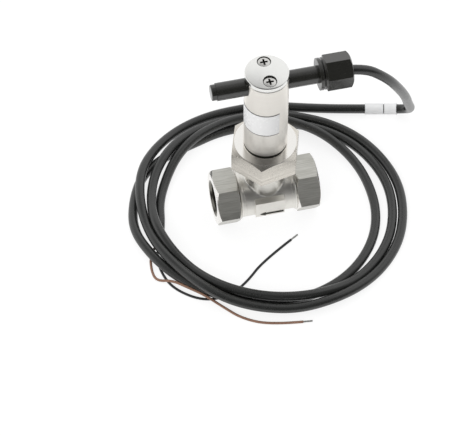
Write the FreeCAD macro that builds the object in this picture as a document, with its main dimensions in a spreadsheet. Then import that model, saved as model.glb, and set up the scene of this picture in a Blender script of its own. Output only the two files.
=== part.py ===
import FreeCAD, Part
import math
import os

import Sketcher
from FreeCAD import Placement, Rotation, Vector
from types import SimpleNamespace

# Inline paddle flow switch, in millimetres with +Z up.
# The origin is the centre of the outlet port's mouth. The run lies along +X, towards the inlet,
# and the branch with the switch head stands up from the middle of the run.

SIZES = {
    # Pipe tee
    "port_reach": 30.0,  # branch axis to each port face
    "run_flats": 30.0,  # hexagon at the ports, across flats
    "run_hex_length": 14.0,
    "run_chamfer_circle": 29.2,
    "run_body_diameter": 27.0,
    "run_shoulder": 2.4,  # length of the cast slope behind each hexagon
    "run_bore": 16.0,
    "port_bore": 18.6,  # core of the pipe thread
    "port_depth": 13.0,
    "port_mouth": 21.2,
    "port_lead_in": 1.3,
    "port_run_out": 1.3,
    "neck_step": 2.5,  # how far the run stands out beyond the neck, on each side
    "neck_top": 29.2,
    "neck_bore": 15.0,
    "pad_width": 17.0,
    "pad_height": 11.6,
    "pad_rise": 1.5,  # run axis up to the middle of the pad
    "pad_reach": 15.4,  # run axis to the flat face of the marking pad
    # Screwed insert
    "gasket_thickness": 0.8,
    "flange_flats": 36.0,
    "flange_height": 15.0,
    "flange_chamfer_circle": 35.0,
    "flange_turn": 11.3,  # degrees; where the thread happens to stop
    "spigot_length": 13.0,
    "lever_bore": 10.0,
    "carrier_floor": 2.0,  # flange underside to the seat of the bearing carrier
    "shadow_gap": 1.0,  # groove between flange and housing
    "shadow_depth": 1.4,
    "seal_section": 1.3,
    "seal_rise": 1.4,  # housing's lower edge to the seal groove
    # Bearing of the lever
    "carrier_diameter": 13.0,
    "carrier_bore": 9.0,
    "carrier_length": 16.0,
    "pivot_rise": 8.0,  # flange underside to the pivot
    "pivot_diameter": 2.0,
    "pivot_running_clearance": 0.05,
    "washer_diameter": 4.6,
    "washer_thickness": 1.2,
    # Paddle lever
    "rest_tilt": 7.0,  # degrees; the blade leans upstream at rest
    "hub_diameter": 6.0,
    "hub_width": 5.0,
    "lower_arm_diameter": 3.0,
    "tab_width": 5.0,
    "tab_thickness": 1.2,
    "tab_length": 10.0,
    "upper_arm_diameter": 2.5,
    "upper_arm_length": 38.5,
    "blade_diameter": 11.0,
    "blade_drop": 11.0,  # end of the lower arm to the blade's centre
    "blade_thickness": 0.8,
    "blade_stem_width": 7.0,
    "rivet_diameter": 1.6,
    "rivet_head_diameter": 2.6,
    "rivet_head_height": 0.6,
    "rivet_spacing": 4.5,
    "rivet_inset": 2.2,  # top of the blade's stem to the first rivet
    "magnet_diameter": 4.4,
    "magnet_length": 6.0,
    "magnet_wall": 0.6,
    "holder_grip": 2.0,  # length of arm held in the magnet holder
    "holder_web": 1.2,
    # Switch housing
    "housing_diameter": 24.5,
    "housing_edge": 0.4,
    "socket_bore": 20.5,
    "socket_depth": 5.0,
    "chamber_bore": 18.0,
    "magnet_headroom": 2.28,  # magnet holder's rim to the roof of the chamber
    "roof_wall": 4.4,  # magnet chamber to the rod's slot
    "rod_depth": 6.6,  # split plane to the rod's axis
    "return_magnet_diameter": 4.0,
    "return_magnet_length": 2.6,
    "return_magnet_offset": 5.0,
    # Clamp cap and its screws
    "cap_gap": 0.3,
    "cap_rim": 2.7,
    "cap_edge": 0.8,  # round of the rim
    "cap_dome": 0.8,
    "tongue_length": 21.0,
    "tongue_width": 9.6,
    "screw_pitch": 14.2,
    "screw_core": 2.9,
    "screw_hole": 3.8,
    "screw_engagement": 11.0,
    "screw_tip_gap": 0.6,
    "screw_seat": 1.4,  # thickness of cap under a screw head
    "screw_head_diameter": 7.0,
    "screw_head_height": 1.5,
    "counterbore": 7.8,
    "recess_span": 4.2,
    "recess_width": 1.1,
    "recess_depth": 1.2,
    # Reed rod
    "rod_diameter": 10.0,
    "rod_bore": 8.0,
    "rod_left": 28.3,  # branch axis to the rod's plugged end
    "rod_right": 33.0,
    "tip_diameter": 8.9,
    "tip_length": 2.9,
    "plug_length": 6.0,
    "rod_running_clearance": 0.06,
    "reed_diameter": 2.4,
    "reed_length": 14.0,
    "reed_wire": 0.6,
    "reed_tail": 2.0,
    "return_wire_rise": 2.4,
    "carrier_stick_left": 12.0,
    "carrier_stick_right": 26.0,
    # Cable gland
    "gland_start": 28.6,  # branch axis to the gland's flange
    "gland_flange_diameter": 18.0,
    "gland_flange_thickness": 1.8,
    "gland_thread": 14.0,
    "gland_sleeve_end": 43.6,
    "gland_groove": 1.0,
    "cable_way": 6.2,
    "seal_pocket": 10.4,
    "seal_floor": 36.0,
    "seal_length": 6.0,
    "thrust_ring_thickness": 1.3,
    "nut_collar": 1.2,
    "nut_flats": 17.5,
    "nut_end": 47.1,
    "nut_end_wall": 2.9,
    "nut_chamfer_circle": 16.4,
    "nut_turn": 8.0,  # degrees
    # Cable and cores
    "cable_diameter": 5.5,
    "cable_start": 34.0,
    "cable_straight": 6.0,
    "marker_wall": 0.4,
    "marker_length": 17.0,
    "marker_inset": 7.0,  # fold to the marker's near end
    "core_diameter": 1.5,
    "strand_diameter": 1.1,
    "strand_length": 5.2,
    "coil_inner_radius": 57.5,
    "coil_outer_radius": 80.5,
    "coil_height": 5.6,
    "coil_edge": 1.4,
    # Shared clearances
    "static_clearance": 0.03,
    "seat_clearance": 0.1,
}

COT_60 = 1.0 / math.sqrt(3.0)
TAN_30 = math.tan(math.radians(30.0))
# How far a cutting outline reaches past the edge that it trims.
OVERCUT = 1.0
# How near an edge must lie to a surface to count as being on it.
MATCH = 0.001
NECK_ROUND = 0.8  # cast round at the neck, as a share of neck_step

# Routes of the cable and its cores, chosen by hand along the lie of the cord. The lead leaves the
# gland, drops to a tight fold near the floor and then runs back to the coil.
LEAD_DROP = [
    Vector(98.0, -0.8, 83.0),
    Vector(108.0, 6.5, 62.5),
    Vector(116.4, 17.6, 39.5),
    Vector(122.6, 29.8, 16.4),
    Vector(127.6, 39.0, 0.3),
]
LEAD_FOLD = Vector(128.6, 47.6, -11.5)
LEAD_RETURN = [
    Vector(104.7, 53.1, -11.5),
    Vector(84.5, 58.1, -12.0),
    Vector(66.0, 62.3, -12.2),
]
# The cores leave the sheath's end side by side, under the turns of the coil.
BROWN_ROUTE = [
    Vector(-34.2, -9.1, -12.4),
    Vector(-36.4, -15.0, -13.8),
    Vector(-41.2, -22.0, -14.2),
    Vector(-42.4, -32.5, -13.4),
    Vector(-36.5, -40.5, -11.8),
    Vector(-25.2, -47.5, -12.6),
    Vector(-13.0, -61.5, -12.0),
    Vector(0.0, -75.5, -14.2),
    Vector(14.5, -82.6, -14.2),
    Vector(32.6, -84.7, -14.2),
]
BLACK_ROUTE = [
    Vector(-32.5, -9.1, -12.4),
    Vector(-34.4, -15.4, -13.8),
    Vector(-39.2, -22.0, -14.2),
    Vector(-38.3, -34.0, -14.2),
    Vector(-34.0, -48.0, -14.2),
    Vector(-21.0, -57.6, -14.2),
    Vector(-5.0, -59.4, -14.2),
    Vector(8.0, -51.5, -14.2),
    Vector(20.0, -39.5, -14.2),
    Vector(39.3, -28.2, -14.2),
]
COIL_CENTRE = Vector(31.0, -3.5, 0.0)
# Share of the shorter run that each bend of a route takes up.
BEND_SHARE = 0.45


class Size:
    """A length, or an angle in degrees, with the sheet expression that it follows."""

    def __init__(self, value, text):
        self.value = value
        self.text = text

    def __add__(self, other):
        other = as_size(other)
        return Size(self.value + other.value, f"({self.text} + {other.text})")

    def __sub__(self, other):
        other = as_size(other)
        return Size(self.value - other.value, f"({self.text} - {other.text})")

    def __mul__(self, factor):
        return Size(self.value * factor, f"({self.text} * {factor!r})")

    def __truediv__(self, divisor):
        return Size(self.value / divisor, f"({self.text} / {divisor!r})")

    def __neg__(self):
        return Size(-self.value, f"(0 - {self.text})")


ZERO = Size(0.0, "0")


def as_size(number):
    """Give a plain number the form of a Size."""
    return number if isinstance(number, Size) else Size(float(number), repr(float(number)))


def fill_sheet(doc):
    """Write every driving dimension to the sheet and return them by name."""
    sheet = doc.addObject("Spreadsheet::Sheet", "dims")
    sizes = {}
    for row, (alias, value) in enumerate(SIZES.items(), start=1):
        sheet.set(f"A{row}", alias.replace("_", " "))
        sheet.set(f"B{row}", str(value))
        sheet.setAlias(f"B{row}", alias)
        sizes[alias] = Size(value, f"dims.{alias}")
    doc.recompute()
    return SimpleNamespace(**sizes)


doc = FreeCAD.newDocument("PaddleFlowSwitch")
D = fill_sheet(doc)
nodes = []

# Levels that several pieces share, measured from the run axis.
branch_x = D.port_reach
flange_level = D.neck_top + D.gasket_thickness
flange_top = flange_level + D.flange_height
housing_level = flange_top + D.shadow_gap
pivot_level = flange_level + D.pivot_rise
floor_level = -(D.run_flats / 2)
neck_radius = D.run_body_diameter / 2 - D.neck_step
collar_start = D.gland_start + D.gland_flange_thickness + D.gland_groove
slot_radius = D.rod_diameter / 2 + D.rod_running_clearance

# The lower arm puts the blade on the run axis. The magnet on the upper arm sets the roof of its
# chamber, and so how high the rod lies and where the housing ends.
lower_arm_length = pivot_level - D.blade_drop
magnet_floor = D.upper_arm_length + D.static_clearance + D.holder_web
magnet_rim = magnet_floor + D.magnet_length + D.static_clearance
roof_level = pivot_level + magnet_rim + D.magnet_headroom
rod_level = roof_level + D.roof_wall + slot_radius
split_level = rod_level + D.rod_depth
cap_level = split_level + D.cap_gap
QUARTER_TURN = Size(90.0, "90")
TURN_TO_X = Rotation(Vector(0, 1, 0), 90)
TURN_TO_Y = Rotation(Vector(1, 0, 0), -90)


def keep(piece, label):
    """Name a finished piece and put it on the list that is written out."""
    piece.Label = label
    nodes.append(piece)
    return piece


def place(piece, x=ZERO, y=ZERO, z=ZERO, turn=None):
    """Put a piece at sheet-driven coordinates, turned by a fixed rotation."""
    piece.Placement = Placement(Vector(x.value, y.value, z.value), turn or Rotation())
    for axis, size in zip("xyz", (x, y, z)):
        piece.setExpression(f"Placement.Base.{axis}", size.text)


def new_body(label):
    """Start a body under its own name."""
    return doc.addObject("PartDesign::Body", label)


def new_sketch(body, plane, offset=None):
    """Attach an empty sketch to one of the body's own origin planes."""
    sketch = body.newObject("Sketcher::SketchObject", f"{body.Name}_sketch")
    support = next(item for item in body.Origin.OriginFeatures if item.Role == plane)
    sketch.AttachmentSupport = (support, [""])
    sketch.MapMode = "FlatFace"
    if offset is not None:
        sketch.setExpression("AttachmentOffset.Base.z", offset.text)
    return sketch


def pin_point(sketch, edge, end, x, y):
    """Fix one point of a sketch edge at sheet-driven coordinates."""
    if x is ZERO and y is ZERO:
        sketch.addConstraint(Sketcher.Constraint("Coincident", edge, end, -1, 1))
        return
    for kind, size, axis in (("DistanceX", x, -2), ("DistanceY", y, -1)):
        if size is ZERO:
            sketch.addConstraint(Sketcher.Constraint("PointOnObject", edge, end, axis))
            continue
        index = sketch.addConstraint(Sketcher.Constraint(kind, -1, 1, edge, end, size.value))
        sketch.setExpression(f"Constraints[{index}]", size.text)


def arc_between(first, last):
    """Arc from first to last with its centre on the sketch's vertical axis, and its end order."""
    (x1, y1), (x2, y2) = first, last
    centre_y = (x1**2 + y1**2 - x2**2 - y2**2) / (2.0 * (y1 - y2))
    radius = math.hypot(x1, y1 - centre_y)
    angles = [math.atan2(y - centre_y, x) for x, y in (first, last)]
    forward = (angles[1] - angles[0]) % (2.0 * math.pi) < math.pi
    if not forward:
        angles.reverse()
    circle = Part.Circle(Vector(0, centre_y, 0), Vector(0, 0, 1), radius)
    return Part.ArcOfCircle(circle, *angles), (1, 2) if forward else (2, 1)


def outline(sketch, corners, arcs=()):
    """Draw a closed outline; the sides listed in arcs are rounds about the vertical axis."""
    spots = [(x.value, y.value) for x, y in corners]
    edges = []
    for side, spot in enumerate(spots):
        after = spots[(side + 1) % len(spots)]
        ends = (1, 2)
        if side in arcs:
            shape, ends = arc_between(spot, after)
        else:
            shape = Part.LineSegment(Vector(*spot, 0), Vector(*after, 0))
        edge = sketch.addGeometry(shape)
        if side in arcs:
            sketch.addConstraint(Sketcher.Constraint("PointOnObject", edge, 3, -2))
        edges.append((edge, *ends))
    for side, (edge, start, _) in enumerate(edges):
        before, _, finish = edges[side - 1]
        sketch.addConstraint(Sketcher.Constraint("Coincident", before, finish, edge, start))
        pin_point(sketch, edge, start, *corners[side])


def circle(sketch, radius, x=ZERO, y=ZERO):
    """Draw a circle with a sheet-driven radius and centre."""
    shape = Part.Circle(Vector(x.value, y.value, 0), Vector(0, 0, 1), radius.value)
    edge = sketch.addGeometry(shape)
    index = sketch.addConstraint(Sketcher.Constraint("Radius", edge, radius.value))
    sketch.setExpression(f"Constraints[{index}]", radius.text)
    pin_point(sketch, edge, 3, x, y)


def rectangle(sketch, left, right, bottom, top):
    """Draw a rectangle between sheet-driven sides."""
    outline(sketch, [(left, bottom), (right, bottom), (right, top), (left, top)])


def hexagon(sketch, flats):
    """Draw a hexagon with its flats across the sketch's vertical direction."""
    corner = flats * COT_60
    half = flats / 2
    shoulder = corner / 2
    upper = [(corner, ZERO), (shoulder, half), (-shoulder, half)]
    lower = [(-corner, ZERO), (-shoulder, -half), (shoulder, -half)]
    outline(sketch, upper + lower)


def extrude(body, sketch, length, kind="Pad", backwards=False, both_sides=False):
    """Pad or pocket a sketch, and see that it changed the solid."""
    before = body.Shape.Volume if body.Tip else 0.0
    feature = body.newObject(f"PartDesign::{kind}", f"{body.Name}_{kind.lower()}")
    feature.Profile = sketch
    feature.Reversed = backwards
    if both_sides:
        feature.SideType = "Symmetric"
    feature.setExpression("Length", length.text)
    return settle(body, feature, before)


def turn(body, sketch, kind="Revolution", axis="V_Axis"):
    """Turn a sketch about one of its axes, adding or cutting, and see that it changed the solid."""
    before = body.Shape.Volume if body.Tip else 0.0
    feature = body.newObject(f"PartDesign::{kind}", f"{body.Name}_{kind.lower()}")
    feature.Profile = sketch
    feature.ReferenceAxis = (sketch, [axis])
    feature.Angle = 360.0
    return settle(body, feature, before)


def settle(body, feature, before):
    """Recompute a feature and stop if it failed or left the volume as it was."""
    doc.recompute()
    if "Invalid" in feature.State or "Error" in feature.State:
        raise RuntimeError(f"{feature.Name} failed")
    if abs(body.Shape.Volume - before) < 1e-6:
        raise RuntimeError(f"{feature.Name} changed nothing")
    return feature


def fillet(body, radius, wanted):
    """Round the edges of a body whose middle is at a wanted spot."""
    edges = []
    for number, edge in enumerate(body.Shape.Edges, start=1):
        spot = edge.valueAt((edge.FirstParameter + edge.LastParameter) / 2)
        if wanted(spot):
            edges.append(f"Edge{number}")
    before = body.Shape.Volume
    base = body.Tip
    feature = body.newObject("PartDesign::Fillet", f"{body.Name}_fillet")
    feature.Base = (base, edges)
    feature.setExpression("Radius", radius.text)
    settle(body, feature, before)


def turned_body(label, corners, arcs=()):
    """A lathe-turned piece from its half section, as (radius, height) corners."""
    body = new_body(label)
    sketch = new_sketch(body, "XZ_Plane")
    outline(sketch, corners, arcs)
    turn(body, sketch)
    return body


def ring_section(inner, outer, bottom, top):
    """Half section of a plain ring."""
    return [(inner, bottom), (outer, bottom), (outer, top), (inner, top)]


def chamfer_section(circle_diameter, flats, face, slope):
    """Triangle that trims a hexagon's corners back from its face; slope is the drop per radius."""
    inner = circle_diameter / 2
    outer = flats * COT_60 + OVERCUT
    return [(inner, face), (outer, face), (outer, face + (outer - inner) * slope)]


def plain_cylinder(name, radius, length):
    """A plain round bar or pin standing on its own origin."""
    bar = doc.addObject("Part::Cylinder", name)
    bar.setExpression("Radius", radius.text)
    bar.setExpression("Height", length.text)
    return bar


def group(label, pieces):
    """Several separate solids that share one node."""
    compound = doc.addObject("Part::Compound", label)
    compound.Links = pieces
    return keep(compound, label)


def build_tee():
    """Cast tee: round run between two hexagon ends, with a neck for the switch head."""
    body = new_body("tee_body")
    length = D.port_reach * 2
    sketch = new_sketch(body, "YZ_Plane")
    circle(sketch, D.run_body_diameter / 2)
    extrude(body, sketch, length)
    for offset in (ZERO, length - D.run_hex_length):
        sketch = new_sketch(body, "YZ_Plane", offset)
        hexagon(sketch, D.run_flats)
        extrude(body, sketch, D.run_hex_length)

    # Machined chamfers at the ports and cast slopes where the hexagons meet the round run.
    sketch = new_sketch(body, "XZ_Plane")
    face = D.run_chamfer_circle / 2
    clear = D.run_flats * COT_60 + OVERCUT
    drop = (clear - face) * TAN_30
    run = D.run_body_diameter / 2
    inner = D.run_hex_length
    slope = inner - D.run_shoulder
    outline(sketch, [(ZERO, face), (drop, clear), (ZERO, clear)])
    outline(sketch, [(inner, run), (inner, clear), (slope, clear)])
    outline(sketch, [(length, face), (length, clear), (length - drop, clear)])
    outline(sketch, [(length - inner, run), (length - slope, clear), (length - inner, clear)])
    turn(body, sketch, "Groove", "H_Axis")

    # Neck, and the flat pad on the front of the run.
    sketch = new_sketch(body, "XY_Plane")
    circle(sketch, neck_radius, branch_x)
    extrude(body, sketch, D.neck_top)
    fillet(body, D.neck_step * NECK_ROUND, on_saddle)
    sketch = new_sketch(body, "XZ_Plane")
    half_width = D.pad_width / 2
    half_height = D.pad_height / 2
    pad_bottom = D.pad_rise - half_height
    pad_top = D.pad_rise + half_height
    rectangle(sketch, branch_x - half_width, branch_x + half_width, pad_bottom, pad_top)
    extrude(body, sketch, D.pad_reach)

    # Flow way with a threaded port at each end, and the threaded way up the neck.
    sketch = new_sketch(body, "XZ_Plane")
    bore = D.run_bore / 2
    port = D.port_bore / 2
    mouth = D.port_mouth / 2
    deep = D.port_depth + D.port_run_out
    outline(
        sketch,
        [
            (ZERO, ZERO),
            (length, ZERO),
            (length, mouth),
            (length - D.port_lead_in, port),
            (length - D.port_depth, port),
            (length - deep, bore),
            (deep, bore),
            (D.port_depth, port),
            (D.port_lead_in, port),
            (ZERO, mouth),
        ],
    )
    turn(body, sketch, "Groove", "H_Axis")
    sketch = new_sketch(body, "XY_Plane")
    circle(sketch, D.neck_bore / 2, branch_x)
    extrude(body, sketch, D.neck_top, "Pocket", backwards=True)
    keep(body, "tee_body")


def on_saddle(spot):
    """Tell whether a spot lies on both the run's and the neck's surface."""
    on_run = abs(math.hypot(spot.y, spot.z) - D.run_body_diameter.value / 2) < MATCH
    on_neck = abs(math.hypot(spot.x - branch_x.value, spot.y) - neck_radius.value) < MATCH
    return on_run and on_neck


def build_gasket():
    """Flat ring between the neck and the hexagon flange."""
    inner = D.neck_bore / 2 + D.seat_clearance
    body = turned_body("neck_gasket", ring_section(inner, neck_radius, ZERO, D.gasket_thickness))
    place(body, branch_x, ZERO, D.neck_top)
    keep(body, "neck_gasket")


def build_insert():
    """Hexagon insert that screws into the neck, carries the bearing and holds the housing."""
    body = new_body("hex_insert")
    sketch = new_sketch(body, "XY_Plane")
    hexagon(sketch, D.flange_flats)
    extrude(body, sketch, D.flange_height)

    spigot = D.neck_bore / 2 - D.static_clearance
    shoulder = D.housing_diameter / 2 - D.shadow_depth
    socket = D.socket_bore / 2 - D.static_clearance
    middle = D.flange_height / 2
    seat = D.flange_height + D.shadow_gap
    top = seat + D.socket_depth - D.seat_clearance
    bottom = -D.spigot_length
    sketch = new_sketch(body, "XZ_Plane")
    outline(
        sketch,
        [
            (ZERO, bottom),
            (spigot, bottom),
            (spigot, middle),
            (shoulder, middle),
            (shoulder, seat),
            (socket, seat),
            (socket, top),
            (ZERO, top),
        ],
    )
    turn(body, sketch)

    sketch = new_sketch(body, "XZ_Plane")
    outline(sketch, chamfer_section(D.flange_chamfer_circle, D.flange_flats, D.flange_height, -TAN_30))
    turn(body, sketch, "Groove")

    groove = seat + D.seal_rise
    groove_floor = D.socket_bore / 2 - D.seal_section
    sketch = new_sketch(body, "XZ_Plane")
    groove_top = groove + D.seal_section + D.seat_clearance
    outline(sketch, ring_section(groove_floor, socket + OVERCUT, groove, groove_top))
    turn(body, sketch, "Groove")

    lever_way = D.lever_bore / 2
    carrier_way = D.carrier_diameter / 2
    sketch = new_sketch(body, "XZ_Plane")
    outline(
        sketch,
        [
            (ZERO, bottom),
            (lever_way, bottom),
            (lever_way, D.carrier_floor),
            (carrier_way, D.carrier_floor),
            (carrier_way, top),
            (ZERO, top),
        ],
    )
    turn(body, sketch, "Groove")
    place(body, branch_x, ZERO, flange_level, Rotation(Vector(0, 0, 1), D.flange_turn.value))
    body.setExpression("Placement.Rotation.Angle", D.flange_turn.text)
    keep(body, "hex_insert")


def build_seal():
    """Square-section seal in the insert's groove, pressed against the housing's socket."""
    outer = D.socket_bore / 2 - D.static_clearance
    inner = D.socket_bore / 2 - D.seal_section + D.static_clearance
    ring = turned_body("housing_seal", ring_section(inner, outer, ZERO, D.seal_section))
    place(ring, branch_x, ZERO, housing_level + D.seal_rise + D.static_clearance)
    keep(ring, "housing_seal")


def build_bearing():
    """Bearing carrier, the pivot pin across it and the two thrust washers beside the hub."""
    outer = D.carrier_diameter / 2 - D.static_clearance
    body = turned_body("bearing_carrier", ring_section(D.carrier_bore / 2, outer, ZERO, D.carrier_length))
    sketch = new_sketch(body, "XZ_Plane")
    circle(sketch, D.pivot_diameter / 2 + D.static_clearance, ZERO, D.pivot_rise - D.carrier_floor)
    extrude(body, sketch, D.carrier_diameter, "Pocket", both_sides=True)
    place(body, branch_x, ZERO, flange_level + D.carrier_floor)
    keep(body, "bearing_carrier")

    # The pin stops short of the carrier's outside so that it slides in with it.
    pin_length = (outer - D.seat_clearance * 2) * 2
    pin = plain_cylinder("pivot_pin", D.pivot_diameter / 2, pin_length)
    place(pin, branch_x, -(pin_length / 2), pivot_level, TURN_TO_Y)
    keep(pin, "pivot_pin")

    washers = []
    inner = D.pivot_diameter / 2 + D.static_clearance
    hub_side = D.hub_width / 2 + D.seat_clearance
    for side, start in (("front", -(hub_side + D.washer_thickness)), ("rear", hub_side)):
        washer = turned_body(
            f"thrust_washer_{side}", ring_section(inner, D.washer_diameter / 2, ZERO, D.washer_thickness)
        )
        place(washer, branch_x, start, pivot_level, TURN_TO_Y)
        washers.append(washer)
    group("thrust_washers", washers)


def tilt(piece, height=ZERO, turned=ZERO):
    """Hang a piece of the lever from the pivot, leaning so that what is below it lies upstream.

    The height is measured along the lever, and turned is the piece's own angle on it in degrees.
    """
    angle = turned - D.rest_tilt
    piece.Placement = Placement(Vector(), Rotation(Vector(0, 1, 0), angle.value))
    piece.setExpression("Placement.Rotation.Angle", angle.text)
    lean = f"({D.rest_tilt.text} * 1deg)"
    piece.setExpression("Placement.Base.x", f"{branch_x.text} - {height.text} * sin{lean}")
    piece.setExpression("Placement.Base.z", f"{pivot_level.text} + {height.text} * cos{lean}")


def build_lever():
    """Two-armed lever: the blade's tab hangs below the hub, the magnet's arm stands above it."""
    body = new_body("paddle_lever")
    sketch = new_sketch(body, "XZ_Plane")
    circle(sketch, D.hub_diameter / 2)
    extrude(body, sketch, D.hub_width, both_sides=True)
    sketch = new_sketch(body, "XY_Plane")
    circle(sketch, D.lower_arm_diameter / 2)
    extrude(body, sketch, lower_arm_length, backwards=True)
    sketch = new_sketch(body, "XY_Plane")
    circle(sketch, D.upper_arm_diameter / 2)
    extrude(body, sketch, D.upper_arm_length)
    sketch = new_sketch(body, "XY_Plane", -(lower_arm_length - OVERCUT))
    thick = D.tab_thickness / 2
    wide = D.tab_width / 2
    rectangle(sketch, -thick, thick, -wide, wide)
    extrude(body, sketch, D.tab_length + OVERCUT, backwards=True)
    sketch = new_sketch(body, "XZ_Plane")
    circle(sketch, D.pivot_diameter / 2 + D.pivot_running_clearance)
    extrude(body, sketch, D.hub_width, "Pocket", both_sides=True)
    cut_rivet_holes(body)
    tilt(body)
    keep(body, "paddle_lever")


def rivet_heights():
    """Heights of the two rivets below the pivot."""
    first = -(lower_arm_length + D.rivet_inset)
    return [first, first - D.rivet_spacing]


def cut_rivet_holes(body):
    """Drill the two rivet holes through a piece, across the flat of the blade."""
    sketch = new_sketch(body, "YZ_Plane")
    for height in rivet_heights():
        circle(sketch, D.rivet_diameter / 2 + D.static_clearance, ZERO, height)
    extrude(body, sketch, D.blade_diameter, "Pocket", both_sides=True)


def build_blade():
    """Thin disc with a stem, riveted to the upstream side of the lever's tab."""
    body = new_body("paddle_blade")
    near = D.tab_thickness / 2
    centre = -pivot_level
    half = D.blade_stem_width / 2
    sketch = new_sketch(body, "YZ_Plane", near)
    rectangle(sketch, -half, half, centre, -lower_arm_length)
    extrude(body, sketch, D.blade_thickness)
    sketch = new_sketch(body, "YZ_Plane", near)
    circle(sketch, D.blade_diameter / 2, ZERO, centre)
    extrude(body, sketch, D.blade_thickness)
    cut_rivet_holes(body)
    tilt(body)
    keep(body, "paddle_blade")

    rivets = []
    shank = D.rivet_diameter / 2
    head = D.rivet_head_diameter / 2
    back = -(D.tab_thickness / 2)
    front = D.tab_thickness / 2 + D.blade_thickness
    for name, height in zip(("upper", "lower"), rivet_heights()):
        rivet = turned_body(
            f"blade_rivet_{name}",
            [
                (ZERO, back - D.rivet_head_height),
                (head, back - D.rivet_head_height),
                (head, back),
                (shank, back),
                (shank, front),
                (head, front),
                (head, front + D.rivet_head_height),
                (ZERO, front + D.rivet_head_height),
            ],
        )
        tilt(rivet, height, QUARTER_TURN)
        rivets.append(rivet)
    group("blade_rivets", rivets)


def build_lever_magnet():
    """Cup on the lever's upper end and the magnet that it holds."""
    arm = D.upper_arm_diameter / 2 + D.static_clearance
    pocket = D.magnet_diameter / 2 + D.static_clearance
    outer = pocket + D.magnet_wall
    grip = D.upper_arm_length - D.holder_grip
    grip_end = D.upper_arm_length + D.static_clearance
    body = turned_body(
        "magnet_holder",
        [
            (arm, grip),
            (outer, grip),
            (outer, magnet_rim),
            (pocket, magnet_rim),
            (pocket, magnet_floor),
            (ZERO, magnet_floor),
            (ZERO, grip_end),
            (arm, grip_end),
        ],
    )
    tilt(body)
    keep(body, "magnet_holder")
    magnet = plain_cylinder("lever_magnet", D.magnet_diameter / 2, D.magnet_length)
    tilt(magnet, magnet_floor)
    keep(magnet, "lever_magnet")


def build_housing():
    """Turned housing with the magnet chamber below and the rod's clamping slot across its top."""
    outer = D.housing_diameter / 2
    socket = D.socket_bore / 2
    chamber = D.chamber_bore / 2
    top = split_level - housing_level
    edge = D.housing_edge
    rod = rod_level - housing_level
    roof = roof_level - housing_level
    body = turned_body(
        "sensor_housing",
        [
            (socket, ZERO),
            (outer - edge, ZERO),
            (outer, edge),
            (outer, top - edge),
            (outer - edge, top),
            (ZERO, top),
            (ZERO, roof),
            (chamber, roof),
            (chamber, D.socket_depth),
            (socket, D.socket_depth),
        ],
    )
    across = D.housing_diameter + OVERCUT
    sketch = new_sketch(body, "YZ_Plane")
    circle(sketch, slot_radius, ZERO, rod)
    extrude(body, sketch, across, "Pocket", both_sides=True)
    sketch = new_sketch(body, "YZ_Plane")
    rectangle(sketch, -slot_radius, slot_radius, rod, top + OVERCUT)
    extrude(body, sketch, across, "Pocket", both_sides=True)
    sketch = new_sketch(body, "XY_Plane", top)
    for side in (-1.0, 1.0):
        circle(sketch, D.screw_core / 2 + D.static_clearance, ZERO, D.screw_pitch * (side / 2))
    extrude(body, sketch, D.screw_engagement, "Pocket")
    sketch = new_sketch(body, "XY_Plane", rod)
    circle(sketch, D.return_magnet_diameter / 2 + D.static_clearance, D.return_magnet_offset)
    pocket_floor = slot_radius + D.return_magnet_length + D.seat_clearance
    extrude(body, sketch, pocket_floor, "Pocket")
    place(body, branch_x, ZERO, housing_level)
    keep(body, "sensor_housing")

    magnet = plain_cylinder("return_magnet", D.return_magnet_diameter / 2, D.return_magnet_length)
    place(magnet, branch_x + D.return_magnet_offset, ZERO, rod_level - pocket_floor)
    keep(magnet, "return_magnet")


def build_cap():
    """Domed cap whose tongue presses the rod into its slot, and the two screws that pull it down."""
    outer = D.housing_diameter / 2
    body = turned_body(
        "clamp_cap",
        [(ZERO, ZERO), (outer, ZERO), (outer, D.cap_rim), (ZERO, D.cap_rim + D.cap_dome)],
        arcs=(2,),
    )
    fillet(body, D.cap_edge, on_cap_rim)
    sketch = new_sketch(body, "XY_Plane")
    long = D.tongue_length / 2
    wide = D.tongue_width / 2
    rectangle(sketch, -long, long, -wide, wide)
    extrude(body, sketch, D.cap_gap + D.rod_depth - D.rod_diameter / 2 - D.seat_clearance, backwards=True)
    through = D.cap_rim + D.cap_dome
    for offset, radius in ((ZERO, D.screw_hole / 2), (D.screw_seat, D.counterbore / 2)):
        sketch = new_sketch(body, "XY_Plane", offset)
        for side in (-1.0, 1.0):
            circle(sketch, radius, ZERO, D.screw_pitch * (side / 2))
        extrude(body, sketch, through, "Pocket", backwards=True)
    place(body, branch_x, ZERO, cap_level)
    keep(body, "clamp_cap")

    head = D.screw_head_diameter / 2
    shank = D.screw_core / 2
    crown = D.recess_width / 3
    reach = D.screw_engagement - D.screw_tip_gap + D.cap_gap + D.screw_seat
    screws = []
    for name, side in (("front", -1.0), ("rear", 1.0)):
        screw = turned_body(
            f"clamp_screw_{name}",
            [
                (ZERO, -reach),
                (shank, -reach),
                (shank, ZERO),
                (head, ZERO),
                (head, D.screw_head_height - crown),
                (ZERO, D.screw_head_height),
            ],
            arcs=(4,),
        )
        sketch = new_sketch(screw, "XY_Plane", D.screw_head_height)
        cross_recess(sketch, D.recess_span / 2, D.recess_width / 2)
        extrude(screw, sketch, D.recess_depth, "Pocket")
        place(screw, branch_x, D.screw_pitch * (side / 2), cap_level + D.screw_seat)
        screws.append(screw)
    group("clamp_screws", screws)


def on_cap_rim(spot):
    """Tell whether a spot lies on the upper edge of the cap's rim."""
    on_side = abs(math.hypot(spot.x, spot.y) - D.housing_diameter.value / 2) < MATCH
    return on_side and abs(spot.z - D.cap_rim.value) < MATCH


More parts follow.
